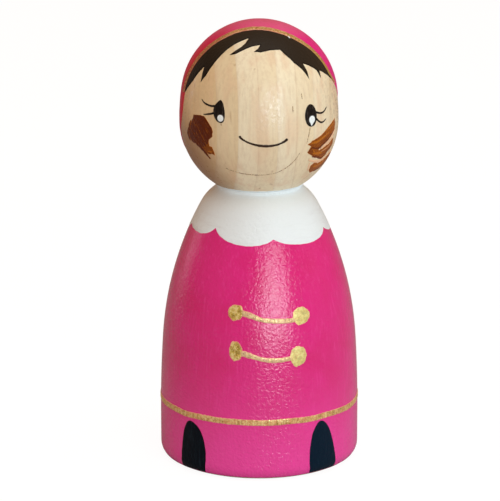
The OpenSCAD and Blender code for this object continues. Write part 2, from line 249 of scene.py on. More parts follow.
class ColourSettings(bpy.types.PropertyGroup):
    """Colours of the wood and the paints."""

    wood: colour("Wood", "Pale growth bands of the wood", 245, 236, 207)
    wood_band: colour("Wood Band", "Darker growth bands of the wood", 227, 204, 160)
    # Painted shade: warmer, browner tone of the wood at the left of the head, where the light is dim and warm
    wood_warm_painted_shade: colour("Wood Brown", "Browner wood at the left of the head", 246, 188, 122)
    # Painted shade: the darkest tone of the wood at the lower left of the head
    wood_painted_shade: colour("Wood Shade", "Darkest wood at the lower left of the head", 132, 84, 48)
    wood_blush: colour("Wood Blush", "Rosy patches of the wood", 226, 192, 156)
    wood_line: colour("Wood Line", "Thin late growth lines of the wood", 176, 134, 92)
    coat: colour("Coat", "Pink of the coat", 228, 28, 133)
    coat_pale: colour("Coat Pale", "Thin places in the pink coat", 252, 80, 182)
    coat_deep: colour("Coat Deep", "Thick places in the pink coat", 216, 18, 108)
    collar: colour("Collar", "White of the collar", 235, 247, 252)
    collar_grey: colour("Collar Grey", "Brush lines in the white", 214, 221, 226)
    collar_rim: colour("Collar Rim", "Edge of the white where pink shows through", 244, 190, 206)
    button: colour("Button", "Yellow gold of the buttons", 216, 186, 78)
    # Painted reflection: brighter gold on the buttons at the right, where the light shines on them
    button_painted_shine: colour("Button Bright", "Brighter gold of the buttons on the right", 255, 255, 176)
    line: colour("Gold Line", "Sandy gold of the hem line", 240, 178, 122)
    cord: colour("Cord", "Cream gold of the cords", 232, 196, 162)
    trim: colour("Trim", "Brown gold of the hood's trim", 206, 142, 88)
    # Painted shade: redder, darker gold at the trim's left end
    trim_painted_shade: colour("Trim Red", "Red brown of the trim's left end", 160, 80, 50)
    trim_olive: colour("Trim Olive", "Olive gold of the trim's right end", 170, 142, 60)
    gold_pale: colour("Gold Pale", "Bright flakes in the gold", 252, 240, 168)
    gold_dull: colour("Gold Dull", "Dull places in the gold", 146, 116, 34)
    gold_rim: colour("Gold Rim", "Edge of the gold where paint shows through", 236, 150, 136)
    boot: colour("Boot", "Blue-black of the boots", 3, 13, 23)
    boot_blue: colour("Boot Blue", "Bluer paint of the right boot", 6, 34, 54)
    boot_fleck: colour("Boot Fleck", "Pale flecks in the boots", 44, 66, 78)
    # Painted shade: redder, darker pink at the left of the hood near its edge
    hood_painted_shade: colour("Hood Red", "Redder paint at the left of the hood", 208, 18, 40)
    # Painted highlight: a paler pink sheen on top of the hood
    hood_painted_sheen: colour("Hood Pale", "Paler paint on top of the hood", 236, 120, 150)
    hair: colour("Hair", "Brown-black of the hair", 45, 37, 28)
    # Thick edge of the hair paint, and also painted shade where it is blended in at the left of the hair
    hair_edge_and_painted_shade: colour("Hair Deep", "Thick edge of the hair paint", 10, 7, 5)
    eye: colour("Eye", "Black of the eyes", 16, 12, 11)
    # Grey ring round a white dot, and grey streaks in the black of an eye that are a painted sheen
    eye_grey_and_painted_sheen: colour("Eye Grey", "Thin streak in the black of an eye", 84, 76, 70)
    glint: colour("Glint", "White dot in an eye", 242, 253, 255)
    mouth: colour("Mouth", "Dark brown of the mouth", 44, 28, 12)
    cheek_left: colour("Left Cheek", "Deep brown of the left cheek", 92, 34, 8)
    cheek_right: colour("Right Cheek", "Orange brown of the right cheek", 158, 84, 4)
    cheek_thin: colour("Cheek Thin", "Orange places in the cheek paint", 196, 116, 20)
    cheek_bare: colour("Cheek Bare", "Rosy smears beside the cheek paint", 246, 206, 168)
    pencil: colour("Pencil", "Pencil lines on the wood", 146, 120, 94)
    floor: colour("Floor", "Plain pale floor as the camera sees it", 204, 207, 209)
    floor_bounce: colour("Floor Bounce", "Floor as its light falls back on the doll", 180, 180, 184)


class StudioSettings(bpy.types.PropertyGroup):
    """Camera and lights."""

    turn: angle("Camera Turn", "Turn of the camera to the left of the face", 5)
    rise: angle("Camera Rise", "Rise of the camera above level", 14.6)
    distance: length("Camera Distance", "Distance of the camera from the middle of the doll", 560)
    aim: length("Aim Height", "Height at which the camera aims", 45)
    lens: level("Lens", "Focal length in millimetres", 198.8)
    tall_level: level("Tall Light", "Brightness of the tall soft light in front", 3.3)
    low_level: level("Low Light", "Brightness of the low soft light in front", 2.6)
    side_level: level("Side Light", "Brightness of the soft light on the right", 2.0)
    top_level: level("Top Light", "Brightness of the soft light above", 1.6)
    rear_level: level("Rear Light", "Brightness of the dim light behind the left side", 1.0)
    fill_level: level("Fill Light", "Brightness of the weak soft light on the left", 0.5)
    sky_level: level("Sky Level", "Brightness of the soft light from all round", 0.41)
    sky: colour("Sky", "Tint of the soft light from all round", 255, 192, 136)
    lamp: colour("Lamp", "Tint of the soft lights", 235, 249, 255)


# Fleck of white paint between the hair and the trim, as turn in degrees and height in mm
WHITE_FLECK = ((37.8, 87.4), (39.4, 87.5))

# Lights as turn from the face in degrees, then distance, height of the middle, width and
# tallness in millimetres
LIGHTS = {
    "tall": (17, 700, 255, 360, 510),
    "low": (9, 700, 100, 400, 190),
    "side": (80, 700, 300, 500, 520),
    "top": (5, 180, 900, 900, 700),
    "rear": (-124, 700, 170, 130, 330),
    "fill": (-60, 700, 190, 360, 510),
}

# Cusps and lowest points of the collar's scallops, as turn in degrees and height in
# millimetres of each cusp, then of the lowest point that follows it
SCALLOPS = (
    (-86, 48.8, -64, 48.05),
    (-46, 49.8, -14, 47.05),
    (6.5, 48.3, 37, 46.8),
    (64, 48.6, 88, 47.2),
    (112, 49.6, 138, 47.3),
    (163, 49.4, 190, 47.1),
    (216, 49.5, 246, 47.3),
)
# Fullness of a scallop, from 0 for a flat one to 1 for a half round one
SCALLOP_FULLNESS = 0.95

# Cross section of the paint in the neck's groove, as millimetres outward and upward of the joint
NECK_BEAD = (
    (-0.2, -0.05), (0.6, -0.45), (0.74, -0.18), (0.66, 0.0),
    (0.74, 0.2), (0.6, 0.5), (-0.2, 0.05), (-0.2, -0.05),
)
# Buttons as name, turn in degrees, height, width and tallness in millimetres, and the
# direction in degrees in which the rim has a small spur
BUTTONS = {
    "upper_buttons": ((-19.7, 34.5, 3.1, 3.1, 50), (21.6, 33.6, 3.7, 3.3, 250)),
    "lower_buttons": ((-18.8, 26.9, 2.7, 3.9, 120), (18.3, 25.7, 3.5, 3.9, 245)),
}
# Routes of the cords between the buttons, as turns in degrees and heights in millimetres
CORDS = {
    "upper_cord": ((-17, 34.6), (-13, 34.3), (-9, 33.9), (-3.5, 33.25), (3, 33), (11, 32.85), (18.5, 32.95)),
    "lower_cord": ((-17, 26.7), (-13, 26.4), (-9, 26), (-3, 25.4), (4, 25.15), (11, 25.25), (16, 25.5)),
}
# Upper edges of the boots from left to right
BOOTS = {
    "left_boot": (
        (-55.8, 0.9), (-55.7, 3), (-54.8, 6), (-53.2, 8.9), (-50.8, 10.6), (-48.2, 11.15),
        (-44.6, 10.75), (-41, 9.7), (-38.4, 7.8), (-37, 5), (-37.3, 2.6), (-38.2, 0.9),
    ),
    "right_boot": (
        (25.6, 0.9), (25, 3.4), (25.3, 6.3), (27.1, 9.3), (30.4, 11.2), (33.6, 11.5),
        (37.6, 10.3), (41.2, 7.5), (43.8, 4.2), (44.6, 2.4), (44.7, 0.9),
    ),
}
# Fringe of the hair from the left temple to the right, as x and height above the middle
# of the crown arc, both as shares of the head radius
FRINGE_SHARES = (
    (-0.948, 0.122), (-0.93, 0.165), (-0.86, 0.29), (-0.72, 0.49), (-0.75, 0.395), (-0.77, 0.31),
    (-0.705, 0.4), (-0.59, 0.565), (-0.46, 0.695), (-0.33, 0.78), (-0.17, 0.84), (-0.215, 0.79),
    (-0.27, 0.75), (-0.42, 0.655), (-0.34, 0.675), (-0.27, 0.71), (-0.14, 0.76), (-0.04, 0.775),
    (-0.07, 0.74), (-0.125, 0.705), (-0.04, 0.70), (0.09, 0.72), (0.20, 0.72), (0.26, 0.665),
    (0.37, 0.565), (0.48, 0.47), (0.556, 0.362), (0.53, 0.46), (0.48, 0.55), (0.60, 0.49),
    (0.66, 0.445), (0.715, 0.345), (0.70, 0.435), (0.77, 0.385), (0.85, 0.31), (0.917, 0.228),
)
# Outlines of the eyes
EYES = {
    "left_eye": (
        (-34.2, 76.5), (-32.1, 75.9), (-30.7, 74.7), (-30.2, 73.4), (-31, 72.4), (-33.2, 72),
        (-36.6, 72.3), (-39, 73.2), (-39.8, 74.3), (-38.8, 75.3), (-36.6, 76),
    ),
    "right_eye": (
        (34.6, 75.35), (37.6, 75), (39.8, 74), (40.5, 72.9), (39.7, 71.7), (37.4, 71),
        (33.8, 70.95), (31, 71.6), (29.6, 72.8), (30.2, 74.1), (32, 75),
    ),
}
# White dots in the eyes as turn in degrees, height and size in millimetres
GLINTS = {"left_glint": (-33.5, 72.95, 1.45), "right_glint": (35.5, 72.3, 1.6)}
# Thin drawn-out end of the white dot in the right eye
GLINT_TAIL = ((35.4, 72.1), (35.2, 71.6), (34.9, 71.1))
# Lashes from the root to the tip, the upper one first
LASHES = {
    "left_lashes": (
        ((-38.6, 75.2), (-42, 75.1), (-45.8, 75.25), (-49, 75.55), (-51.6, 76.1)),
        ((-38.6, 73.85), (-42, 73.55), (-45.4, 73.35), (-48.8, 73.2)),
    ),
    "right_lashes": (
        ((39.6, 73.6), (43, 73.3), (46.6, 73.2), (49.8, 73.5), (52.4, 74.1)),
        ((39.8, 72.3), (43, 71.6), (45.8, 71.3), (48.4, 71.4), (51, 71.8)),
    ),
}
# Mouth from the left corner to the right corner
MOUTH = (
    (-19, 69.75), (-17.6, 69.2), (-13, 68.5), (-6.6, 67.95),
    (0.1, 67.75), (7.7, 67.95), (13.6, 68.6), (15.2, 69.1),
)
# Patches of cheek paint as their tone, from 0 for thick to 1 for a bare smear, and their outline
CHEEK_PATCHES = {
    "left_cheek": (
        (
            0.3,
            (
                (-59.8, 72.6), (-54.2, 72.9), (-48.4, 72.9), (-45.7, 72.3), (-43, 71.5), (-40.9, 70.8),
                (-39.7, 70), (-40.4, 69.1), (-43.4, 68.3), (-44.2, 67.6), (-46, 66.9), (-50, 66.3),
                (-57.3, 66.8), (-62.6, 67), (-66.2, 67.8), (-66.4, 69), (-64.6, 69.8), (-62.4, 71.1),
                (-60.6, 71.9),
            ),
        ),
        (
            0.62,
            (
                (-50, 66.7), (-46.4, 67.4), (-44, 67.8), (-43.7, 67), (-41.2, 66.8),
                (-40.4, 66), (-39.6, 65.1), (-43.9, 65.5), (-46, 65.2), (-48.4, 65.8),
            ),
        ),
    ),
    "right_cheek": (
        (
            0.5,
            (
                (65, 71.2), (66.5, 70), (64.5, 68.8), (59, 67.8), (49.5, 66.6), (42, 65.9),
                (36, 66.7), (32.5, 67.3), (37, 68), (43.5, 68.5), (50.5, 69.5), (57, 70.3),
            ),
        ),
        (
            0.5,
            (
                (36, 66.8), (41, 66), (45, 65.6), (50, 65.8), (57, 66.3), (65, 67.3),
                (66, 65.7), (62, 64.8), (56, 64), (51, 63.6), (45, 64), (37, 64.9), (33, 65.7),
            ),
        ),
        (
            0.55,
            (
                (41.5, 62.4), (44.5, 62.9), (50.5, 62.6), (59, 63.1), (68.5, 64.1),
                (72, 63.7), (68, 62.2), (62, 61.3), (54, 60.7), (46, 60.7), (42.5, 61.3),
            ),
        ),
    ),
}
# Single strokes on the cheeks as their tone, their widths in millimetres and their route
CHEEK_STROKES = {
    "left_cheek": (
        (0.42, (0.5, 1.2, 1.3, 0.7), ((-60.4, 71.6), (-56, 70.2), (-51, 68.4), (-47, 66.8))),
        (0.36, (0.4, 1, 1.1, 0.5), ((-63, 69.6), (-59.4, 68.6), (-55, 67.4), (-51.6, 66.6))),
        (0.1, (0.5, 0.9, 0.6), ((-58.4, 72.2), (-52, 71.4), (-46, 69.6), (-43.6, 68.6))),
        (0.2, (0.6, 0.8, 0.7, 0.3), ((-57.6, 67), (-52.6, 66.4), (-48.7, 65.4), (-45.3, 64.2))),
        (0.6, (0.5, 0.8, 0.6), ((-50.6, 66.6), (-46.8, 65.9), (-43.4, 65.4))),
        (0.8, (0.3, 0.5, 0.35), ((-49, 66.2), (-45.6, 65.8), (-42, 65.9))),
        (0.36, (0.4, 0.9, 0.5), ((-66, 69.8), (-67.2, 68.5), (-65, 67.2))),
        (0.36, (0.3, 0.7, 0.5), ((-63, 71.4), (-64.6, 70.2), (-65.4, 69.2))),
    ),
    "right_cheek": (
        (0.12, (0.3, 0.6, 0.6, 0.5, 0.3), ((36.6, 66.6), (43, 66.1), (50, 66.9), (57, 67.8), (64.6, 69.1))),
        (0.78, (0.3, 0.6, 0.5, 0.25), ((35.6, 67.5), (42, 67.6), (48, 68.2), (55, 68.9))),
        (0.7, (0.2, 0.4, 0.2), ((50, 69.2), (56, 69.8), (62.6, 70.4))),
        (0.2, (0.2, 0.4, 0.3), ((45, 66.9), (51, 67.6), (58, 68.5))),
        (0.15, (0.3, 0.5, 0.3), ((36.6, 66.5), (35, 66), (34.2, 65.6))),
        (0.6, (0.4, 0.7, 0.7, 0.3), ((37.2, 66.2), (40, 66), (43, 65.7), (45.4, 65.4))),
        (0.8, (0.3, 0.7, 0.4), ((38.6, 65.3), (44.6, 65), (50, 64.9))),
        (0.15, (0.3, 0.5, 0.4, 0.2), ((39, 64.6), (45.6, 64.2), (52, 63.7), (58, 64.3))),
        (0.2, (0.2, 0.5, 0.3), ((50, 64.3), (57, 64.8), (64.4, 65.8))),
        (0.9, (0.2, 0.35, 0.2), ((48, 65.2), (54, 65.5), (60.5, 66.1))),
        (0.84, (0.2, 0.4, 0.2), ((38.5, 66), (40, 65.5), (40.5, 65))),
        (1.0, (0.3, 0.65, 0.8, 0.6, 0.2), ((46.6, 65.9), (51, 66.3), (56.9, 67), (62.4, 68), (66.2, 69.2))),
        (1.0, (0.3, 0.55, 0.6, 0.3), ((36.7, 63.9), (43.8, 63.3), (52.5, 63.1), (61.1, 63.7), (67.6, 64.5))),
        (0.98, (0.2, 0.4, 0.2), ((38.5, 63.2), (39.5, 62.3), (40.5, 61.4))),
        (0.12, (0.2, 0.4, 0.4, 0.3), ((50, 61), (58, 61.2), (65, 62), (71, 63.2))),
        (0.76, (0.3, 0.7, 0.5, 0.2), ((45, 62.1), (51, 62.1), (58, 62.5), (65, 63.2))),
    ),
}
# Pencil lines that the paint doesn't cover, then two short brown flecks of the wood
PENCIL_LINES = (
    ((34, 70.9), (33.2, 69.8), (32.2, 68.6), (31.2, 67.5)),
    ((-33, 72), (-32.9, 71.4)),
    ((-33.6, 62.7), (-27, 62.1), (-20.3, 61.7), (-11, 61.45), (-2.6, 61.4), (4, 61.55), (9.8, 61.85)),
    ((9.9, 61.86), (15.6, 62.6), (20.9, 63.7), (24, 64.7), (26.6, 66)),
    ((19.7, 75.5), (19.9, 74.2)),
    ((27.7, 77.7), (28, 76.5)),
)
# Shares of the full width that the lines have from their start to their end
CORD_WIDTHS = (1.15, 1.2, 0.9, 0.95, 1.0, 0.95, 1.0)
LASH_WIDTHS = (1.1, 0.9, 0.8, 0.35)
MOUTH_WIDTHS = (1.1, 0.75, 0.8, 1.1, 1.2, 0.95, 0.85, 1.35)
PENCIL_WIDTHS = (0.8, 1.0, 0.6)
# Widths in millimetres of the right glint's tail and of the white fleck
TAIL_WIDTHS = (1.2, 0.8, 0.2)
FLECK_WIDTHS = (0.5, 0.4)

# Woods as the place of the pith in millimetres to the right and to the back, the roughness, and
# the heights in millimetres between which the clear coat is thick
WOODS = {
    "Body Wood": Wood(pith=(100, 40), roughness=0.5, glaze=None),
    "Head Wood": Wood(pith=(89.7, -7.8), roughness=0.3, glaze=(70, 79)),
    "Dowel Wood": Wood(pith=(20, 30), roughness=0.6, glaze=None),
}
# Paints as their main, pale, deep and rim tones, the size of the brush's streaks along x, y and z,
# their bend, the wrinkle of the varnish and its relief in millimetres, and the way of the brush
PINK = ("coat", "coat_pale", "coat_deep", "coat_deep")
PAINTS = {
    "Coat Paint": Paint(
        PINK, streak=(0.5, 0.5, 9), bend=2, strength=0.22, roughness=0.17, wrinkle=1.05, relief=0.056,
        gloss=0.85,
    ),
    "Hood Paint": Paint(
        PINK, streak=(0.8, 2.5, 2.5), bend=3, strength=0.25, roughness=0.36, wrinkle=1.0, relief=0.05,
        gloss=0.2,
    ),
    "Collar Paint": Paint(
        ("collar", "collar_grey", "collar", "collar_rim"), streak=(8, 8, 1.1), bend=4, strength=0.4,
        roughness=0.42, wrinkle=1.2, relief=0.06, rim=0.5,
    ),
    "Neck Paint": Paint(
        ("collar", "collar_grey", "collar", "collar"), streak=(8, 8, 1.1), bend=4, strength=0.4,
        roughness=0.6, wrinkle=1.2, relief=0.06, gloss=0.2,
    ),
    "Boot Paint": Paint(
        ("boot", "boot_fleck", "boot", "eye"), streak=(0.3, 0.3, 2.2), bend=1, strength=0.35,
        roughness=0.4, wrinkle=1.2, rim=0.4, gloss=0.1,
    ),
    "Hair Paint": Paint(
        ("hair", "hair", "hair", "hair_edge_and_painted_shade"), streak=(0.5, 2, 4), bend=3, strength=0.5,
        roughness=0.42, wrinkle=0.9, relief=0.05, rim=0.9, gloss=0.12,
    ),
    # The grey streaks in the black of the eyes are a painted sheen
    "Eye Paint": Paint(
        ("eye", "eye_grey_and_painted_sheen", "eye", "eye"), streak=(0.3, 0.3, 1.4), bend=0.6, strength=0.65,
        roughness=0.36, wrinkle=0.8, gloss=0.25,
    ),
    "Glint Paint": Paint(
        ("glint", "glint", "glint", "eye_grey_and_painted_sheen"), streak=(0.3, 0.3, 1), bend=0.5, strength=0.0,
        roughness=0.3, wrinkle=0.8, rim=0.2,
    ),
    "Mouth Paint": Paint(
        ("mouth", "cheek_left", "mouth", "mouth"), streak=(1.2, 0.4, 0.25), bend=0.6, strength=0.4,
        roughness=0.4, wrinkle=0.8, gloss=0.3,
    ),
    "Left Cheek Paint": Paint(
        ("cheek_left", "cheek_thin", "cheek_left", "cheek_thin"), streak=(0.25, 0.25, 3), bend=1,
        strength=0.45, roughness=0.34, wrinkle=0.7, relief=0.05, rim=0.3, gloss=0.2, way=(0.4, -0.5, -0.75),
    ),
    "Right Cheek Paint": Paint(
        ("cheek_right", "cheek_thin", "cheek_left", "cheek_thin"), streak=(0.25, 0.25, 3), bend=1,
        strength=0.45, roughness=0.34, wrinkle=0.7, relief=0.05, rim=0.3, gloss=0.25, way=(0.45, 0.55, 0.7),
    ),
}
# Gold paints as their main tone, and how far they shine, break up and are mottled
GOLDS = {
    "Hem Gold": Gold("line", shine=0.4, breaks=0.95, mottled=0.35),
    "Button Gold": Gold("button", shine=0.35, breaks=0.45, mottled=0.75),
    "Cord Gold": Gold("cord", shine=0.4, breaks=0.5, mottled=0.15),
    "Trim Gold": Gold("trim", shine=0.25, breaks=0.25, mottled=0.2),
}
# Further tones of a material, each by the product of its slopes. A slope runs along a direction
# between two places in millimetres, or with the tone of a cheek film, from one share to another
CHEEK_BLENDS = (
    ("cheek_left", Slope("tone", 0.1, 0.4, 0.8, 0.0)),
    ("cheek_thin", Slope("tone", 0.5, 0.8, 0.0, 0.75)),
    ("cheek_bare", Slope("tone", 0.84, 1.0, 0.0, 0.9)),
)
BLENDS = {
    "Head Wood": (
        # Painted warm shade on the left of the head, and painted shade at its lower left
        ("wood_warm_painted_shade", Slope(RIGHTWARD, -16, -7, 0.15, 0.0)),
        ("wood_painted_shade", Slope(SLANTING, 30, 38.5, 0.75, 0.0)),
    ),
    "Coat Paint": (("coat_pale", Slope(UPWARD, 2, 26, 0.6, 0.0)),),
    "Collar Paint": (("collar", Slope(UPWARD, 51, 53, 0.0, 1.0)),),
    # Painted reflection: brighter gold on the buttons towards the right
    "Button Gold": (("button_painted_shine", Slope(RIGHTWARD, -7, 7, 0.0, 0.5)),),
    "Boot Paint": (("boot_blue", Slope(RIGHTWARD, -4, 4, 0.0, 0.7)),),
    "Hood Paint": (
        # Painted highlight: paler pink on top of the hood
        ("hood_painted_sheen", Slope(UPWARD, 86, 89.5, 0.0, 0.5)),
        # Painted shade: redder pink at the left of the hood, near its edge
        ("hood_painted_shade", Slope(BACKWARD, -4, 5, 1.0, 0.0), Slope(RIGHTWARD, -14, -1, 0.9, 0.0)),
    ),
    "Trim Gold": (
        # Painted shade at the trim's left end
        ("trim_painted_shade", Slope(RIGHTWARD, -15, -1, 0.9, 0.0)),
        ("trim_olive", Slope(RIGHTWARD, 2, 13, 0.0, 0.8)),
    ),
    # Painted shade at the left of the hair
    "Hair Paint": (("hair_edge_and_painted_shade", Slope(RIGHTWARD, -15, -6, 0.85, 0.0)),),
    "Left Cheek Paint": CHEEK_BLENDS,
    "Right Cheek Paint": CHEEK_BLENDS,
}


def held(share):
    """Share held between 0 and 1."""
    return max(0.0, min(1.0, share))


def rounded(share):
    """Height of a quarter circle at a share of its width, both from 0 to 1."""
    return math.sqrt(1 - (1 - share) ** 2)


def circle(steps):
    """Angles that go once round in even steps."""
    return [2 * math.pi * i / steps for i in range(steps)]


def turn_of(point):
    """Turn of a point from the front."""
    return math.atan2(point.x, -point.y)


def turned_out(away, turn):
    """Spot at a distance from the middle and a turn from the front."""
    return Vector((away * math.sin(turn), -away * math.cos(turn)))


class Outline:
    """Outline of a turned piece as tangent arcs from its lowest ring upward."""

    def __init__(self, arcs):
        self.arcs = arcs
        self.spans = [arc.radius * (arc.high - arc.low) for arc in arcs]
        self.length = sum(self.spans)
        self.foot = arcs[0].z + arcs[0].radius * math.sin(arcs[0].low)
        self.top = arcs[-1].z + arcs[-1].radius * math.sin(arcs[-1].high)
        self.widest = max(arc.x + arc.radius for arc in arcs)

    def on_arc(self, arc, slope):
        """Spot on one arc at a slope."""
        return Spot(arc.x + arc.radius * math.cos(slope), arc.z + arc.radius * math.sin(slope), slope)

    def arc_at(self, height):
        """Number of the arc that passes a height, and its slope there."""
        for number, arc in enumerate(self.arcs):
            if height <= arc.z + arc.radius * math.sin(arc.high):
                break
        share = (height - arc.z) / arc.radius
        return number, math.asin(max(-1.0, min(1.0, share)))

    def at_height(self, height):
        """Spot on the outline at a height."""
        number, slope = self.arc_at(height)
        return self.on_arc(self.arcs[number], slope)

    def at_length(self, along):
        """Spot on the outline at a distance along it."""
        for arc, span in zip(self.arcs, self.spans):
            if along <= span:
                break
            along -= span
        return self.on_arc(arc, min(arc.low + along / arc.radius, arc.high))

    def length_at(self, height):
        """Distance along the outline at a height."""
        number, slope = self.arc_at(height)
        arc = self.arcs[number]
        return sum(self.spans[:number]) + arc.radius * (slope - arc.low)

    def points(self, step):
        """Radius and height of points along the outline, one for each step of slope."""
        found = []
        for arc in self.arcs:
            steps = max(1, math.ceil(abs(arc.high - arc.low) / step))
            for i in range(steps + 1):
                spot = self.on_arc(arc, arc.low + (arc.high - arc.low) * i / steps)
                if not found or (Vector(found[-1]) - Vector(spot[:2])).length > MM / 100:
                    found.append((spot.radius, spot.height))
        return found


def body_outline(wood):
    """Outline of the body, as wide as the frame's body node."""
    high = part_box("body")[1]
    flank_x = high.x - wood.flank_radius
    belly_reach = wood.flank_radius - wood.belly_radius
    belly_x = flank_x + belly_reach * math.cos(wood.flank_slope)
    belly_z = wood.foot_height + belly_reach * math.sin(wood.flank_slope)
    shoulder_reach = wood.belly_radius - wood.shoulder_radius
    shoulder_x = belly_x + shoulder_reach * math.cos(wood.belly_slope)
    shoulder_z = belly_z + shoulder_reach * math.sin(wood.belly_slope)
    neck_slope = math.acos((wood.neck_radius - shoulder_x) / wood.shoulder_radius)
    wall_height = wood.foot_height - wood.base_round
    outline = Outline([
        Arc(high.x - wood.base_round, wood.base_round, wood.base_round, -math.pi / 2, 0.0),
        Arc(high.x - WALL_RADIUS, wood.base_round, WALL_RADIUS, 0.0, math.asin(wall_height / WALL_RADIUS)),
        Arc(flank_x, wood.foot_height, wood.flank_radius, 0.0, wood.flank_slope),
        Arc(belly_x, belly_z, wood.belly_radius, wood.flank_slope, wood.belly_slope),
        Arc(shoulder_x, shoulder_z, wood.shoulder_radius, wood.belly_slope, neck_slope),
    ])
    check_height("body", outline.top, high.z)
    return outline


def head_outline(wood):
    """Outline of the head, as wide as the frame's head node and standing at its height."""
    low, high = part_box("head")
    chin_x = high.x - wood.chin_radius
    chin_slope = math.acos((wood.neck_radius - chin_x) / wood.chin_radius)
    widest_z = low.z + wood.chin_radius * math.sin(chin_slope)
    side_x = high.x - wood.side_radius
    side_reach = wood.side_radius - wood.crown_radius
    side_slope = math.acos(-side_x / side_reach)
    crown_z = widest_z + side_reach * math.sin(side_slope)
    outline = Outline([
        Arc(chin_x, widest_z, wood.chin_radius, -chin_slope, 0.0),
        Arc(side_x, widest_z, wood.side_radius, 0.0, side_slope),
        Arc(0.0, crown_z, wood.crown_radius, side_slope, math.pi / 2),
    ])
    check_height("head", outline.top, high.z)
    return outline


def check_height(node, made, given):
    """Stop if a turned outline and the frame's node don't end at the same height."""
    if abs(made - given) > HEIGHT_SLACK:
        raise RuntimeError(f"The outline of the {node} ends at {made:.5f} m and the frame's at {given:.5f} m")


def on_surface(spot, turn, lift):
    """Point at a turn from the front, lifted off the wood along its normal."""
    radius = spot.radius + lift * math.cos(spot.slope)
    height = spot.height + lift * math.sin(spot.slope)
    return Vector((*turned_out(radius, turn), height))


def side_chart(outline):
    """Chart whose x is the turn times the widest radius and whose y is the height."""
    return lambda x, y, lift: on_surface(outline.at_height(y), x / outline.widest, lift)


def crown_chart(outline):
    """Chart with the crown in its middle, where the distance along the outline is kept."""
    def place(x, y, lift):
        spot = outline.at_length(outline.length - math.hypot(x, y))
        return on_surface(spot, turn_of(Vector((x, y))), lift)
    return place


def side_spots(outline, table):
    """Chart spots of a table of turns in degrees and heights in millimetres."""
    return [Vector((math.radians(turn) * outline.widest, height * MM)) for turn, height in table]


def crown_spot(outline, point):
    """Crown chart spot of a point on the turned surface."""
    return turned_out(outline.length - outline.length_at(point.z), turn_of(point))


def smooth_line(points, step, closed=False):
    """Points about a step apart on a smooth curve through the given ones."""
    last = len(points) - 1
    found = []
    for i in range(len(points) if closed else last):
        near = (i - 1, i, i + 1, i + 2)
        p, q, r, s = (points[k % len(points) if closed else max(0, min(last, k))] for k in near)
        parts = max(1, math.ceil((r - q).length / step))
        for k in range(parts):
            t = k / parts
            bend = (2 * q) + (r - p) * t + (2 * p - 5 * q + 4 * r - s) * t**2 + (3 * q - p - 3 * r + s) * t**3
            found.append(bend / 2)
    return found if closed else found + [points[-1].copy()]


def dense_line(points, step):
    """Points of a closed outline with more between them, about a step apart, on straight lines."""
    found = []
    for q, r in zip(points, points[1:] + points[:1]):
        parts = max(1, math.ceil((r - q).length / step))
        found += [q.lerp(r, k / parts) for k in range(parts)]
    return found


def wavered(points, amount, wave, seed):
    """Points moved about by a smooth noise, as a hand moves a brush."""
    moved = []
    for point in points:
        x, y = point.x / wave, point.y / wave
        # The noise of each axis is its own, and the same in every run
        push = Vector((noise.noise(Vector((x, y, seed))), noise.noise(Vector((y, x, -seed)))))
        moved.append(point + amount * push)
    return moved


def waver_around(turn, amount, waves, seed):
    """Waver of an edge that closes on itself around the doll."""
    return amount * noise.noise(Vector((waves * math.cos(turn), waves * math.sin(turn), seed)))


def brush_ridges(height, across, along, seed):
    """Low ridges that run along y, as a height over a chart."""
    def relief(x, y):
        coarse = noise.noise(Vector((x / across, y / along, seed)))
        fine = noise.noise(Vector((2.3 * x / across, 1.7 * y / along, seed + 5)))
        return height * (coarse + 0.5 * fine)
    return relief


def inside(points, outline):
    """Which points lie inside a closed outline."""
    x, y = points[:, 0], points[:, 1]
    found = np.zeros(len(points), bool)
    for start, end in zip(outline, np.roll(outline, -1, axis=0)):
        if start[1] != end[1]:
            crosses = (start[1] > y) != (end[1] > y)
            found ^= crosses & (x < (end[0] - start[0]) * (y - start[1]) / (end[1] - start[1]) + start[0])
    return found


def distance_to(points, outline):
    """Distance of each point to a closed outline."""
    nearest = np.full(len(points), np.inf)
    for start, end in zip(outline, np.roll(outline, -1, axis=0)):
        run = end - start
        share = np.clip(((points - start) @ run) / max(run @ run, TINY), 0, 1)
        gap = np.linalg.norm(points - (start + share[:, None] * run), axis=1)
        nearest = np.minimum(nearest, gap)
    return nearest


def new_object(name, mesh):
    """Object of a mesh at the origin, linked to the scene."""
    made = bpy.data.objects.new(name, mesh)
    bpy.context.scene.collection.objects.link(made)
    return made


def shade(mesh, sharp):
    """Shade a mesh smooth, with the corners past an angle sharp."""
    mesh.shade_smooth()
    mesh.set_sharp_from_angle(angle=sharp)


def tidy_mesh(mesh, sharp=FILM_SHARP):
    """Merge doubles, turn the faces outward and shade them smooth with sharp corners."""
    work = bmesh.new()
    work.from_mesh(mesh)
    bmesh.ops.remove_doubles(work, verts=work.verts, dist=MM / 2000)
    bmesh.ops.recalc_face_normals(work, faces=work.faces)
    work.to_mesh(mesh)
    work.free()
    shade(mesh, sharp)


def merged_mesh(name, pieces):
    """One mesh of the meshes of several pieces."""
    work = bmesh.new()
    for piece in pieces:
        work.from_mesh(piece.data)
    mesh = bpy.data.meshes.new(name)
    work.to_mesh(mesh)
    work.free()
    return mesh


def remove(piece):
    """Delete a piece with its mesh."""
    old = piece.data
    bpy.data.objects.remove(piece)
    bpy.data.meshes.remove(old)


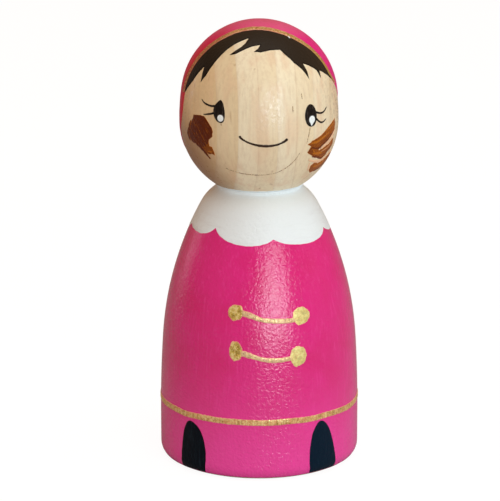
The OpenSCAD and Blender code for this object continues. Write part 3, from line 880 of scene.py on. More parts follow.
def film_object(name, place, spots, rims, faces, film, base=0.0, relief=None, tone=0.0):
    """Closed film of paint over the faces of a chart, thinner at its rims, with its underside sunk in."""
    top = []
    for (x, y), rim in zip(spots, rims):
        share = EDGE_SHARE + (1 - EDGE_SHARE) * rounded(rim)
        bump = relief(x, y) * rim if relief else 0.0
        top.append(place(x, y, base + film * share + bump))
    under = [place(x, y, base - SINK) for x, y in spots]
    total = len(top)
    edges = {(a, b) for face in faces for a, b in zip(face, face[1:] + face[:1])}
    walls = [(b, a, a + total, b + total) for a, b in sorted(edges) if (b, a) not in edges]
    below = [tuple(i + total for i in reversed(face)) for face in faces]
    mesh = bpy.data.meshes.new(name)
    mesh.from_pydata(top + under, [], faces + below + walls)
    mesh.attributes.new("rim", "FLOAT", "POINT").data.foreach_set("value", list(rims) + [0.0] * total)
    mesh.attributes.new("tone", "FLOAT", "POINT").data.foreach_set("value", [tone] * (2 * total))
    tidy_mesh(mesh)
    return new_object(name, mesh)


def joined(name, parts):
    """One object of several, under a new name."""
    mesh = merged_mesh(name, parts)
    for part in parts:
        remove(part)
    shade(mesh, FILM_SHARP)
    return new_object(name, mesh)


def patch(name, place, outline, step, rim, film, **more):
    """Film inside a closed outline, meshed with triangles."""
    line = np.array([tuple(spot) for spot in outline])
    low, high = line.min(axis=0), line.max(axis=0)
    grid = np.stack(np.meshgrid(np.arange(low[0], high[0], step), np.arange(low[1], high[1], step)), -1)
    grid[1::2, :, 0] += step / 2
    grid = grid.reshape(-1, 2)
    grid = grid[inside(grid, line)]
    grid = grid[distance_to(grid, line) > 0.6 * step]
    points = [Vector(spot) for spot in np.concatenate([line, grid])]
    found = geometry.delaunay_2d_cdt(points, [], [list(range(len(line)))], 1, MM / 10000)
    spots = [tuple(spot) for spot in found[0]]
    rims = np.clip(distance_to(np.array(spots), line) / rim, 0, 1)
    faces = []
    for face in found[2]:
        a, b, c = (found[0][i] for i in face[:3])
        faces.append(tuple(face) if (b - a).cross(c - a) > 0 else tuple(reversed(face)))
    return film_object(name, place, spots, rims, faces, film, **more)


def strip(name, place, columns, film, closed=False, **more):
    """Film on columns of chart spots with their rims, joined side by side."""
    rows = len(columns[0])
    spots = [spot for column in columns for spot, rim in column]
    rims = [rim for column in columns for spot, rim in column]
    faces = []
    for i in range(len(columns) if closed else len(columns) - 1):
        here, there = i * rows, (i + 1) % len(columns) * rows
        for j in range(rows - 1):
            faces.append((here + j, there + j, there + j + 1, here + j + 1))
    return film_object(name, place, spots, rims, faces, film, **more)


def stroke(name, place, route, widths, step, film, ragged=0.0, seed=0.0, **more):
    """Brush stroke along a route, with its widths spread evenly from start to end."""
    line = smooth_line(route, step)
    total = sum((b - a).length for a, b in zip(line, line[1:]))
    gone = 0.0
    columns = []
    for i, point in enumerate(line):
        before, after = line[max(i - 1, 0)], line[min(i + 1, len(line) - 1)]
        left = Vector((before.y - after.y, after.x - before.x)).normalized()
        place_in = gone / total * (len(widths) - 1)
        first = min(int(place_in), len(widths) - 2)
        half = (widths[first] + (widths[first + 1] - widths[first]) * (place_in - first)) / 2
        taper = rounded(min(1.0, (min(gone, total - gone) + END_SHARE * half) / half))
        column = []
        for share in ACROSS_SHARES:
            side = 1 if share > 0 else -1
            wave = noise.noise(Vector((point.x / RAGGED_WAVE, point.y / RAGGED_WAVE, seed + side)))
            reach = half * taper * (1 + ragged * wave)
            column.append((tuple(point + left * reach * share), 1 - abs(share)))
        columns.append(column)
        gone += (line[min(i + 1, len(line) - 1)] - point).length
    return strip(name, place, columns, film, **more)


def spread(low, high, rows, rim):
    """Heights from low to high with their rims, closer together near both edges."""
    near = (0.0, 0.12 * rim, 0.4 * rim, rim)
    middle = [low + rim + (high - low - 2 * rim) * i / rows for i in range(1, rows)]
    heights = [low + gap for gap in near] + middle + [high - gap for gap in reversed(near)]
    return [(height, min(1.0, min(height - low, high - height) / rim)) for height in heights]


def ring(name, outline, low, high, columns, rows, rim, film, **more):
    """Film round the doll between a low and a high edge, each a height as a function of the turn."""
    found = []
    for i in range(columns):
        turn = 2 * math.pi * i / columns - math.pi
        found.append([
            ((turn * outline.widest, height), max(0.0, share))
            for height, share in spread(low(turn), high(turn), rows, rim)
        ])
    return strip(name, side_chart(outline), found, film, closed=True, **more)


class Board:
    """Node tree with short calls that add a node, set it and feed its inputs."""

    def __init__(self, tree):
        self.tree = tree

    def add(self, kind, feeds=None, **settings):
        """New node with its settings and inputs."""
        made = self.tree.nodes.new(kind)
        for key, value in settings.items():
            setattr(made, key, value)
        self.feed_all(made.inputs, feeds or {})
        return made

    def feed(self, socket, value):
        """Join an output to an input, or set the input."""
        if isinstance(value, bpy.types.NodeSocket):
            self.tree.links.new(value, socket)
        else:
            socket.default_value = value

    def feed_all(self, sockets, values):
        """Feed several inputs by their names or numbers."""
        for key, value in values.items():
            self.feed(sockets[key], value)

    def math(self, operation, *values):
        """Result of a math node."""
        return self.add("ShaderNodeMath", dict(enumerate(values)), operation=operation).outputs[0]

    def vector(self, operation, *values, output=0):
        """Result of a vector math node."""
        return self.add("ShaderNodeVectorMath", dict(enumerate(values)), operation=operation).outputs[output]

    def ease(self, value, low, high, start=0.0, end=1.0):
        """Smooth step from start to end as the value goes from low to high."""
        feeds = {"Value": value, "From Min": low, "From Max": high, "To Min": start, "To Max": end}
        return self.add("ShaderNodeMapRange", feeds, interpolation_type="SMOOTHSTEP").outputs[0]

    def noise(self, vector, scale, detail=2.0, roughness=0.5, output="Fac"):
        """Noise value at a vector."""
        feeds = {"Vector": vector, "Scale": scale, "Detail": detail, "Roughness": roughness}
        return self.add("ShaderNodeTexNoise", feeds).outputs[output]

    def mix(self, share, first, second):
        """Mix of two colours."""
        made = self.add("ShaderNodeMix", data_type="RGBA")
        sockets = {socket.identifier: socket for socket in made.inputs}
        self.feed_all(sockets, {"Factor_Float": share, "A_Color": first, "B_Color": second})
        return next(socket for socket in made.outputs if socket.identifier == "Result_Color")

    def attribute(self, name):
        """Value of a film, its rim from 0 at the edge to 1 inside, or its tone."""
        return self.add("ShaderNodeAttribute", attribute_name=name).outputs["Fac"]

    def bump(self, shader, height, strength, distance):
        """Relief on a material, from a height and the length in millimetres of one unit of it."""
        feeds = {"Height": height, "Strength": strength, "Distance": distance * MM}
        self.feed(shader["Normal"], self.add("ShaderNodeBump", feeds).outputs[0])


def opaque(tone):
    """Colour with full alpha for a node's socket."""
    return (*tone, 1.0)


def new_group(name, kind, inputs, outputs):
    """Empty node group with its board, its inputs by name and its output sockets."""
    tree = bpy.data.node_groups.new(name, kind)
    for label, (socket_type, default) in inputs.items():
        socket = tree.interface.new_socket(label, in_out="INPUT", socket_type="NodeSocket" + socket_type)
        if default is not None:
            socket.default_value = default
    for label, socket_type in outputs.items():
        tree.interface.new_socket(label, in_out="OUTPUT", socket_type="NodeSocket" + socket_type)
    given = tree.nodes.new("NodeGroupInput")
    return tree, Board(tree), given.outputs, tree.nodes.new("NodeGroupOutput").inputs


def wood_grain_group():
    """Growth bands, growth lines and fibres of wood that grew round a pith beside the piece."""
    tree, board, given, result = new_group(
        "Wood Grain", "ShaderNodeTree",
        {
            "Vector": ("Vector", None), "Pith": ("Vector", (90 * MM, 0.0, 0.0)),
            "Ring Width": ("Float", 3.82 * MM), "Drift": ("Float", 0.7 * MM), "Tint Seed": ("Float", 2730.0),
        },
        {"Tint": "Float", "Line": "Float", "Fibre": "Float", "Fleck": "Float"},
    )
    place = board.vector("SUBTRACT", given["Vector"], given["Pith"])
    flat = board.vector("MULTIPLY", place, (1.0, 1.0, 0.0))
    upright = board.vector("MULTIPLY", place, (1.0, 1.0, 0.25))
    drift = board.math("MULTIPLY", board.math("SUBTRACT", board.noise(upright, 60.0), 0.5), given["Drift"])
    away = board.math("ADD", board.vector("LENGTH", flat, output="Value"), drift)
    rings = board.math("DIVIDE", away, given["Ring Width"])
    part = board.math("FRACT", rings)
    seed = board.math("ADD", board.math("FLOOR", rings), given["Tint Seed"])
    tone = board.add("ShaderNodeTexWhiteNoise", noise_dimensions="1D")
    board.feed(tone.inputs["W"], seed)
    fade = board.math("MULTIPLY_ADD", part, -0.2, 0.2)
    fleck = board.noise(board.vector("MULTIPLY", place, (1.0, 1.0, 0.22)), 900.0, 1.0)
    board.feed_all(result, {
        "Tint": board.math("MULTIPLY_ADD", tone.outputs["Value"], 0.95, fade),
        "Line": board.math("POWER", part, 16.0),
        "Fibre": board.noise(board.vector("MULTIPLY", place, (1.0, 1.0, 0.05)), 1500.0, 3.0, 0.6),
        "Fleck": board.ease(fleck, 0.68, 0.78),
    })
    return tree


def brush_strokes_group():
    """Streaks that a flat brush leaves, with their size along x, y and z."""
    tree, board, given, result = new_group(
        "Brush Strokes", "ShaderNodeTree",
        {
            "Vector": ("Vector", None), "Size": ("Vector", (0.5 * MM, 0.5 * MM, 8 * MM)),
            "Bend": ("Float", 1.5 * MM),
        },
        {"Streak": "Float", "Patch": "Float"},
    )
    sway = board.noise(given["Vector"], 90.0, 1.0, output="Color")
    shift = board.vector("SUBTRACT", sway, (0.5, 0.5, 0.5))
    moved = board.vector("MULTIPLY_ADD", shift, given["Bend"], given["Vector"])
    streak = board.noise(board.vector("DIVIDE", moved, given["Size"]), 1.0, 3.0, 0.65)
    board.feed_all(result, {"Streak": streak, "Patch": board.noise(moved, 110.0)})
    return tree


def varnish_group():
    """Fine wrinkles and dimples of a brushed clear varnish."""
    tree, board, given, result = new_group(
        "Varnish", "ShaderNodeTree",
        {"Vector": ("Vector", None), "Wrinkle": ("Float", 1.1 * MM)},
        {"Height": "Float", "Dimple": "Float"},
    )
    scale = board.math("DIVIDE", 1.0, given["Wrinkle"])
    sway = board.noise(given["Vector"], scale, output="Color")
    moved = board.vector("MULTIPLY_ADD", sway, given["Wrinkle"], given["Vector"])
    cells = board.add("ShaderNodeTexVoronoi", {"Vector": moved, "Scale": scale}, feature="DISTANCE_TO_EDGE")
    ridge = board.ease(cells.outputs["Distance"], 0.0, 0.35)
    fine = board.noise(given["Vector"], board.math("MULTIPLY", scale, 2.6), 2.0, 0.6)
    board.feed_all(result, {
        "Height": board.math("MULTIPLY_ADD", ridge, 0.5, fine),
        "Dimple": board.ease(board.noise(given["Vector"], 1500.0, 1.0), 0.66, 0.78),
    })
    return tree


def lathe_tree():
    """Geometry nodes that turn an outline in the xz plane round the z axis."""
    tree, board, given, result = new_group(
        "Lathe", "GeometryNodeTree",
        {"Outline": ("Geometry", None), "Steps Around": ("Int", 180), "Material": ("Material", None)},
        {"Turned Piece": "Geometry"},
    )
    size = board.add("GeometryNodeAttributeDomainSize", {"Geometry": given["Outline"]}).outputs["Point Count"]
    columns = board.math("ADD", given["Steps Around"], 1)
    grid = board.add("GeometryNodeMeshGrid", {"Vertices X": columns, "Vertices Y": size})
    index = board.add("GeometryNodeInputIndex").outputs[0]
    column = board.math("FLOOR", board.math("DIVIDE", index, size))
    share = board.math("DIVIDE", column, given["Steps Around"])
    outline_spot = {
        "Geometry": given["Outline"],
        "Value": board.add("GeometryNodeInputPosition").outputs[0],
        "Index": board.math("MODULO", index, size),
    }
    sample = board.add("GeometryNodeSampleIndex", outline_spot, data_type="FLOAT_VECTOR")
    swing = {"Vector": sample.outputs[0], "Angle": board.math("MULTIPLY", share, 2 * math.pi)}
    turned = board.add("ShaderNodeVectorRotate", swing, rotation_type="Z_AXIS")
    moved = board.add(
        "GeometryNodeSetPosition", {"Geometry": grid.outputs["Mesh"], "Position": turned.outputs[0]}
    )
    merged = board.add("GeometryNodeMergeByDistance", {"Geometry": moved.outputs[0], "Distance": MM / 1000})
    board.feed(result["Turned Piece"], realized(board, merged, given["Material"]))
    return tree


def flakes_tree():
    """Geometry nodes that scatter thin six-sided flakes over the inner part of a paint film."""
    tree, board, given, result = new_group(
        "Gold Flakes", "GeometryNodeTree",
        {
            "Film": ("Geometry", None), "Density": ("Float", 1.0), "Flake Radius": ("Float", 0.1 * MM),
            "Flake Thickness": ("Float", 0.012 * MM), "Smallest Share": ("Float", 0.45),
            "Tilt": ("Float", 0.1), "Seed": ("Int", 4), "Material": ("Material", None),
        },
        {"Flakes": "Geometry"},
    )
    rim = board.add("GeometryNodeInputNamedAttribute", {"Name": "rim"}, data_type="FLOAT")
    inner = board.add("FunctionNodeCompare", data_type="FLOAT", operation="GREATER_THAN")
    board.feed_all(inner.inputs, {"A": rim.outputs["Attribute"], "B": 0.25})
    points = board.add("GeometryNodeDistributePointsOnFaces", {
        "Mesh": given["Film"], "Seed": given["Seed"], "Selection": inner.outputs["Result"],
        "Density": given["Density"],
    })
    flake = board.add("GeometryNodeMeshCylinder", {
        "Vertices": 6, "Side Segments": 1, "Fill Segments": 1, "Radius": given["Flake Radius"],
        "Depth": given["Flake Thickness"],
    })
    placed = board.add("GeometryNodeInstanceOnPoints", {
        "Points": points.outputs["Points"], "Instance": flake.outputs["Mesh"],
        "Rotation": points.outputs["Rotation"],
        "Scale": random_value(board, "FLOAT", "VALUE", given["Smallest Share"], 1.0, given["Seed"]),
    })
    most = {"X": given["Tilt"], "Y": given["Tilt"], "Z": math.pi}
    most = board.add("ShaderNodeCombineXYZ", most).outputs[0]
    least = board.add("ShaderNodeVectorMath", {0: most, "Scale": -1.0}, operation="SCALE").outputs[0]
    next_seed = board.math("ADD", given["Seed"], 1)
    sway = random_value(board, "FLOAT_VECTOR", "VECTOR", least, most, next_seed)
    tilted = board.add("GeometryNodeRotateInstances", {"Instances": placed.outputs[0], "Rotation": sway})
    board.feed(result["Flakes"], realized(board, tilted, given["Material"]))
    return tree


def random_value(board, data_type, socket_type, least, most, seed):
    """Random value between two ends, as a number or a vector."""
    node = board.add("FunctionNodeRandomValue", {"Seed": seed}, data_type=data_type)
    ends = [socket for socket in node.inputs if socket.type == socket_type]
    board.feed(ends[0], least)
    board.feed(ends[1], most)
    return next(socket for socket in node.outputs if socket.enabled)


def realized(board, node, material):
    """Last two nodes of a geometry tree, which make real meshes and give them their material."""
    whole = board.add("GeometryNodeRealizeInstances", {"Geometry": node.outputs[0]}).outputs[0]
    return board.add("GeometryNodeSetMaterial", {"Geometry": whole, "Material": material}).outputs[0]


GROUPS = {
    "Wood Grain": wood_grain_group,
    "Brush Strokes": brush_strokes_group,
    "Varnish": varnish_group,
    "Lathe": lathe_tree,
    "Gold Flakes": flakes_tree,
}


def built(name):
    """Node group that is made once and found again by the next operator."""
    return bpy.data.node_groups.get(name) or GROUPS[name]()


def group_node(board, name, feeds):
    """Outputs of a shared node group that is placed in a material with its values."""
    return board.add("ShaderNodeGroup", feeds, node_tree=built(name)).outputs


def new_material(name, values):
    """Material with its board, its shader's inputs, some of them set, and the object's coordinates."""
    material = bpy.data.materials.new(name)
    material.use_nodes = True
    board = Board(material.node_tree)
    shader = material.node_tree.nodes["Principled BSDF"].inputs
    board.feed_all(shader, values)
    return material, board, shader, board.add("ShaderNodeTexCoord").outputs["Object"]


def slope_share(board, place, slope):
    """Share of a further tone, which changes between two places or two tones of a film."""
    if slope.along == "tone":
        return board.ease(board.attribute("tone"), slope.low, slope.high, slope.start, slope.end)
    reach = board.vector("DOT_PRODUCT", place, slope.along, output="Value")
    return board.ease(reach, slope.low * MM, slope.high * MM, slope.start, slope.end)


def coloured(name, board, shader, place, colours, tone):
    """Give a material its colour, with its further tones blended in."""
    for further, *slopes in BLENDS.get(name, ()):
        shares = [slope_share(board, place, slope) for slope in slopes]
        share = shares[0] if len(shares) == 1 else board.math("MULTIPLY", *shares)
        tone = board.mix(share, tone, opaque(getattr(colours, further)))
    board.feed(shader["Base Color"], tone)


def wood_material(name, colours):
    """Bare turned wood, with a thicker clear coat between two heights if they are given."""
    wood = WOODS[name]
    values = {"Coat Roughness": 0.2, "Specular IOR Level": 0.25} if wood.glaze else {}
    material, board, shader, place = new_material(name, values)
    pith = (wood.pith[0] * MM, wood.pith[1] * MM, 0.0)
    grain = group_node(board, "Wood Grain", {"Vector": place, "Pith": pith})
    varnish = group_node(board, "Varnish", {"Vector": place, "Wrinkle": 1.3 * MM})
    line = opaque(colours.wood_line)
    tone = board.mix(grain["Tint"], opaque(colours.wood), opaque(colours.wood_band))
    tone = board.mix(board.math("MULTIPLY", grain["Line"], 0.24), tone, line)
    tone = board.mix(board.ease(grain["Fibre"], 0.4, 0.7, 0.0, 0.17), tone, line)
    upright = board.vector("MULTIPLY", place, (1.0, 1.0, 0.16))
    blush = board.ease(board.noise(upright, 420.0), 0.45, 0.75, 0.0, 0.45)
    tone = board.mix(blush, tone, opaque(colours.wood_blush))
    tone = board.mix(board.math("MULTIPLY", grain["Fleck"], 0.4), tone, line)
    coloured(name, board, shader, place, colours, tone)
    rough = board.math("MULTIPLY_ADD", grain["Fibre"], 0.12, wood.roughness)
    board.feed(shader["Roughness"], board.math("MULTIPLY_ADD", varnish["Dimple"], -0.2, rough))
    if wood.glaze:
        low, high = wood.glaze
        rise = slope_share(board, place, Slope(UPWARD, low - 6, low, 0.0, 1.0))
        fall = slope_share(board, place, Slope(UPWARD, high, high + 4, 1.0, 0.0))
        speck = board.ease(varnish["Height"], 0.5, 0.9, 0.2, 1.0)
        thick = board.math("MULTIPLY", board.math("MULTIPLY", rise, fall), speck)
        board.feed(shader["Coat Weight"], thick)
    board.bump(shader, board.math("MULTIPLY_ADD", grain["Fibre"], 0.4, varnish["Height"]), 0.5, 0.05)
    return material


def paint_material(name, colours):
    """Brushed paint under clear varnish, whose streaks run the way of the brush."""
    paint = PAINTS[name]
    main, pale, deep, edge = (opaque(getattr(colours, tone)) for tone in paint.tones)
    material, board, shader, place = new_material(name, {"Specular IOR Level": paint.gloss})
    turn = tuple(Vector(paint.way).rotation_difference(Vector(UPWARD)).to_euler())
    turned = board.add("ShaderNodeMapping", {"Vector": place, "Rotation": turn}).outputs[0]
    size = tuple(part * MM for part in paint.streak)
    marks = group_node(board, "Brush Strokes", {"Vector": turned, "Size": size, "Bend": paint.bend * MM})
    varnish = group_node(board, "Varnish", {"Vector": turned, "Wrinkle": paint.wrinkle * MM})
    tone = board.mix(board.ease(marks["Patch"], 0.35, 0.7, 0.0, 0.5), main, deep)
    streak = board.math("MULTIPLY", board.ease(marks["Streak"], 0.5, 0.74), paint.strength)
    tone = board.mix(streak, tone, pale)
    if paint.rim:
        tone = board.mix(board.ease(board.attribute("rim"), 0.0, paint.rim, 1.0, 0.0), tone, edge)
    coloured(name, board, shader, place, colours, tone)
    board.feed(shader["Roughness"], board.math("MULTIPLY_ADD", marks["Streak"], 0.14, paint.roughness - 0.07))
    board.bump(shader, board.math("MULTIPLY_ADD", marks["Streak"], 0.5, varnish["Height"]), 1.0, paint.relief)
    return material


def gold_material(name, colours):
    """Gold paint of fine flakes with upright breaks and mottled places, thinner at its rim."""
    gold = GOLDS[name]
    material, board, shader, place = new_material(name, {})
    size = (0.28 * MM, 0.28 * MM, 2.5 * MM)
    marks = group_node(board, "Brush Strokes", {"Vector": place, "Size": size, "Bend": 0.3 * MM})
    cells = board.add("ShaderNodeTexVoronoi", {"Vector": place, "Scale": 4200.0})
    shade_of = board.add("ShaderNodeSeparateColor", {"Color": cells.outputs["Color"]}).outputs[0]
    mottle = board.noise(place, 1200.0)
    rim = board.attribute("rim")
    tone = opaque(getattr(colours, gold.tone))
    for further, value, low, high, start, end in (
        (colours.gold_dull, shade_of, 0.0, 0.45, 0.45, 0.0),
        (colours.gold_pale, shade_of, 0.6, 0.95, 0.0, 0.7),
        (colours.gold_pale, marks["Streak"], 0.52, 0.66, 0.0, gold.breaks),
        (colours.gold_dull, marks["Streak"], 0.34, 0.46, 0.7 * gold.breaks, 0.0),
        (colours.gold_dull, mottle, 0.36, 0.5, gold.mottled, 0.0),
        (colours.gold_pale, mottle, 0.5, 0.64, 0.0, gold.mottled),
        (colours.gold_rim, rim, 0.0, 0.4, 0.75, 0.0),
    ):
        tone = board.mix(board.ease(value, low, high, start, end), tone, opaque(further))
    coloured(name, board, shader, place, colours, tone)
    board.feed(shader["Metallic"], board.ease(rim, 0.0, 0.5, 0.0, gold.shine))
    board.feed(shader["Roughness"], board.ease(shade_of, 0.0, 1.0, 0.55, 0.36))
    board.bump(shader, board.math("ADD", shade_of, marks["Streak"]), 0.8, 0.04)
    return material


def grown(carrier, name, group, inputs):
    """Plain mesh object that a geometry nodes tree makes from a carrier, which is removed."""
    tree = built(group)
    modifier = carrier.modifiers.new(name, "NODES")
    modifier.node_group = tree
    sockets = {item.name: item.identifier for item in tree.interface.items_tree if item.in_out == "INPUT"}
    for label, value in inputs.items():
        modifier[sockets[label]] = value
    evaluated = carrier.evaluated_get(bpy.context.evaluated_depsgraph_get())
    mesh = bpy.data.meshes.new_from_object(evaluated)
    carrier.modifiers.remove(modifier)
    remove(carrier)
    mesh.name = name
    return new_object(name, mesh)


def turned_piece(name, line, steps, material, sharp):
    """Piece turned from a line of radii and heights."""
    mesh = bpy.data.meshes.new(name + "_outline")
    mesh.from_pydata([(x, 0.0, z) for x, z in line], [(i, i + 1) for i in range(len(line) - 1)], [])
    inputs = {"Steps Around": steps, "Material": material}
    piece = grown(new_object(name + "_outline", mesh), name, "Lathe", inputs)
    tidy_mesh(piece.data, sharp)
    return piece


def finished(piece, material, slot, *nodes):
    """Give a piece its material and body, and hide the frame's nodes that it stands for. The slot is not
    used.
    """
    if material:
        piece.data.materials.clear()
        piece.data.materials.append(material)
    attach(piece, "root")
    if nodes:
        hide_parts(*nodes)


class PEGDOLL_OT_set_stage(bpy.types.Operator):
    """Set the camera, the lights, the floor and the plain background"""

    bl_idname = "peg_doll.set_stage"
    bl_label = "Set Stage"

    def execute(self, context):
        studio, colours = context.scene.peg_doll.studio, context.scene.peg_doll.colours
        self.add_camera(context.scene, studio)
        for name, sizes in LIGHTS.items():
            self.add_light(name, sizes, getattr(studio, name + "_level"), studio.lamp)
        self.add_floor(colours)
        self.light_sky(context.scene, studio)
        context.scene.view_settings.view_transform = "Standard"
        return {"FINISHED"}

    def add_camera(self, scene, studio):
        """Camera at the photograph's angle, aimed by a small shift."""
        data = bpy.data.cameras.new("Camera")
        data.sensor_fit = "HORIZONTAL"
        data.sensor_width = SENSOR_WIDTH
        data.lens = studio.lens
        data.shift_x, data.shift_y = SHIFT_SHARES
        data.clip_start = 10 * MM
        data.clip_end = 20.0
        camera = new_object("Camera", data)
        level = math.cos(studio.rise) * studio.distance
        back = Vector((*turned_out(level, -studio.turn), studio.distance * math.sin(studio.rise)))
        camera.location = Vector((0.0, 0.0, studio.aim)) + back
        camera.rotation_euler = (-back).to_track_quat("-Z", "Y").to_euler()
        scene.camera = camera

    def add_light(self, name, sizes, brightness, tint):
        """Soft rectangle of light that faces the axis of the doll, or looks down on it from above."""
        turn = math.radians(sizes[0])
        distance, height, width, tall = (size * MM for size in sizes[1:])
        data = bpy.data.lights.new(name.title() + " Light", "AREA")
        data.shape = "RECTANGLE"
        data.size = width
        data.size_y = tall
        data.energy = brightness * math.pi * width * tall
        data.color = tint
        light = new_object(data.name, data)
        light.location = (*turned_out(distance, turn), height)
        aim = Vector((0.0, 0.0, 0.0 if height > distance else height)) - light.location
        light.rotation_euler = aim.to_track_quat("-Z", "Y").to_euler()
        light.visible_camera = False
        light.visible_glossy = name not in DULL_LIGHTS

    def add_floor(self, colours):
        """Round pale floor that shows almost white and keeps the doll's shadow."""
        mesh = bpy.data.meshes.new("floor")
        work = bmesh.new()
        bmesh.ops.create_circle(work, cap_ends=True, segments=96, radius=FLOOR_RADIUS)
        work.to_mesh(mesh)
        work.free()
        dull = {"Roughness": 0.9, "Specular IOR Level": 0.0}
        material, board, shader, place = new_material("Pale Floor", dull)
        spots = board.math("MULTIPLY", board.noise(place, 300.0), 0.06)
        pale = board.mix(spots, opaque(colours.floor), STUDIO_WHITE)
        seen = board.add("ShaderNodeLightPath").outputs["Is Camera Ray"]
        board.feed(shader["Base Color"], board.mix(seen, opaque(colours.floor_bounce), pale))
        glow = board.add("ShaderNodeEmission", {"Color": STUDIO_WHITE, "Strength": FLOOR_GLOW})
        nodes = material.node_tree.nodes
        both = board.add("ShaderNodeMixShader", {
            0: board.math("MULTIPLY", seen, GLOW_SHARE), 1: nodes["Principled BSDF"].outputs[0],
            2: glow.outputs[0],
        })
        board.feed(nodes["Material Output"].inputs["Surface"], both.outputs[0])
        mesh.materials.append(material)
        new_object("floor", mesh)

    def light_sky(self, scene, studio):
        """Soft light from all round, and plain white where the camera sees past the floor."""
        world = bpy.data.worlds.new("Studio")
        world.use_nodes = True
        board = Board(world.node_tree)
        seen = board.add("ShaderNodeLightPath").outputs["Is Camera Ray"]
        board.feed_all(world.node_tree.nodes["Background"].inputs, {
            "Strength": board.math("MULTIPLY_ADD", seen, 1.0 - studio.sky_level, studio.sky_level),
            "Color": board.mix(seen, opaque(studio.sky), STUDIO_WHITE),
        })
        scene.world = world


class PEGDOLL_OT_turn_wood(bpy.types.Operator):
    """Turn the body and the head, and give the dowel its wood"""

    bl_idname = "peg_doll.turn_wood"
    bl_label = "Turn Body and Head"

    def execute(self, context):
        wood, colours = context.scene.peg_doll.wood, context.scene.peg_doll.colours
        body, head = body_outline(wood), head_outline(wood)
        neck, bore, depth = body.top, wood.bore_radius, wood.bore_depth
        body_bore = [(bore, neck), (bore, neck - depth), (0.0, neck - depth)]
        head_bore = [(0.0, neck + depth), (bore, neck + depth), (bore, neck)]
        lines = {
            "body": [(0.0, 0.0)] + body.points(wood.arc_step) + body_bore,
            "head": head_bore + head.points(wood.arc_step)[:-1] + [(0.0, head.top)],
        }
        for node, line in lines.items():
            material = wood_material(node.title() + " Wood", colours)
            piece = turned_piece("turned_" + node, line, wood.around, material, TURNED_SHARP)
            finished(piece, None, node + "_wood", node)
        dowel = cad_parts["neck_dowel"]
        dowel.data.materials.clear()
        dowel.data.materials.append(wood_material("Dowel Wood", colours))
        return {"FINISHED"}


def scallop_edge(turn):
    """Height of the collar's lower edge at a turn, a hanging arc between two cusps."""
    first = SCALLOPS[0][0]
    degrees = first + (math.degrees(turn) - first) % 360
    after = SCALLOPS[1:] + ((first + 360, *SCALLOPS[0][1:]),)
    for (start, start_z, middle, middle_z), (end, end_z, *_) in zip(SCALLOPS, after):
        if degrees <= end:
            break
    if degrees < middle:
        share, rise = (middle - degrees) / (middle - start), start_z - middle_z
    else:
        share, rise = (degrees - middle) / (end - middle), end_z - middle_z
    full = 1 - math.sqrt(1 - SCALLOP_FULLNESS**2)
    return (middle_z + rise * (1 - math.sqrt(1 - (SCALLOP_FULLNESS * share) ** 2)) / full) * MM


class PEGDOLL_OT_paint_coat(bpy.types.Operator):
    """Paint the pink coat from the base up to the collar"""

    bl_idname = "peg_doll.paint_coat"
    bl_label = "Paint Coat"

    def execute(self, context):
        doll = context.scene.peg_doll
        films = doll.films
        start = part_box("coat")[0].z
        coat = ring(
            "coat_film", body_outline(doll.wood),
            lambda turn: start + waver_around(turn, films.waver, 9.0, 1.0),
            lambda turn: scallop_edge(turn) + doll.coat.overlap,
            films.columns, films.rows, films.rim, films.coat,
            relief=brush_ridges(films.ridge, 1.1 * MM, 9 * MM, 2.0),
        )
        finished(coat, paint_material("Coat Paint", doll.colours), "coat_paint", "coat")
        return {"FINISHED"}


class PEGDOLL_OT_paint_collar(bpy.types.Operator):
    """Paint the white collar with its scalloped edge"""

    bl_idname = "peg_doll.paint_collar"
    bl_label = "Paint Collar"

    def execute(self, context):
        doll = context.scene.peg_doll
        films = doll.films
        body, head = body_outline(doll.wood), head_outline(doll.wood)
        end, start = body.top - COLLAR_GAP, head.foot + SMEAR_GAP
        upright = brush_ridges(films.ridge, 0.9 * MM, 7 * MM, 6.0)
        collar = ring(
            "collar_film", body,
            lambda turn: scallop_edge(turn) + waver_around(turn, 0.5 * films.waver, 14.0, 3.0),
            lambda turn: end + waver_around(turn, 0.5 * films.waver, 9.0, 4.0),
            2 * films.columns, COLLAR_ROWS, films.rim, films.collar - RIDGE_ROOM,
            relief=lambda x, y: upright(y, x),
        )
        smear = ring(
            "collar_smear", head,
            lambda turn: start,
            lambda turn: head.foot + doll.coat.smear + waver_around(turn, films.waver, 9.0, 8.0),
            2 * films.columns, SMEAR_ROWS, 0.3 * films.rim, films.stroke,
        )
        line = [(doll.wood.neck_radius + away * MM, head.foot + rise * MM) for away, rise in NECK_BEAD]
        plain = paint_material("Neck Paint", doll.colours)
        bead = turned_piece("neck_bead", line, doll.wood.around, plain, FILM_SHARP)
        finished(collar, paint_material("Collar Paint", doll.colours), "collar_paint", "collar")
        finished(smear, plain, "collar_paint")
        finished(bead, None, "collar_paint")
        return {"FINISHED"}


def button_outline(outline, button, ragged, seed):
    """Uneven oval of a button in the side chart, with a small spur."""
    turn, height, width, tall, spur = button
    middle = side_spots(outline, [(turn, height)])[0]
    # The chart is wider than the body is there, so widths grow by the same share
    stretch = outline.widest / outline.at_height(middle.y).radius
    found = []
    for way in circle(BUTTON_STEPS):
        rough = waver_around(way, 1.0, 2.2, seed)
        fine = waver_around(way, 1.0, 7.0, seed)
        near = math.cos(way - math.radians(spur))
        size = 1 + ragged * (rough + 0.6 * fine) + 0.16 * max(0.0, near) ** 24
        reach = Vector((width / 2 * stretch * math.cos(way), tall / 2 * math.sin(way)))
        found.append(middle + size * MM * reach)
    return found


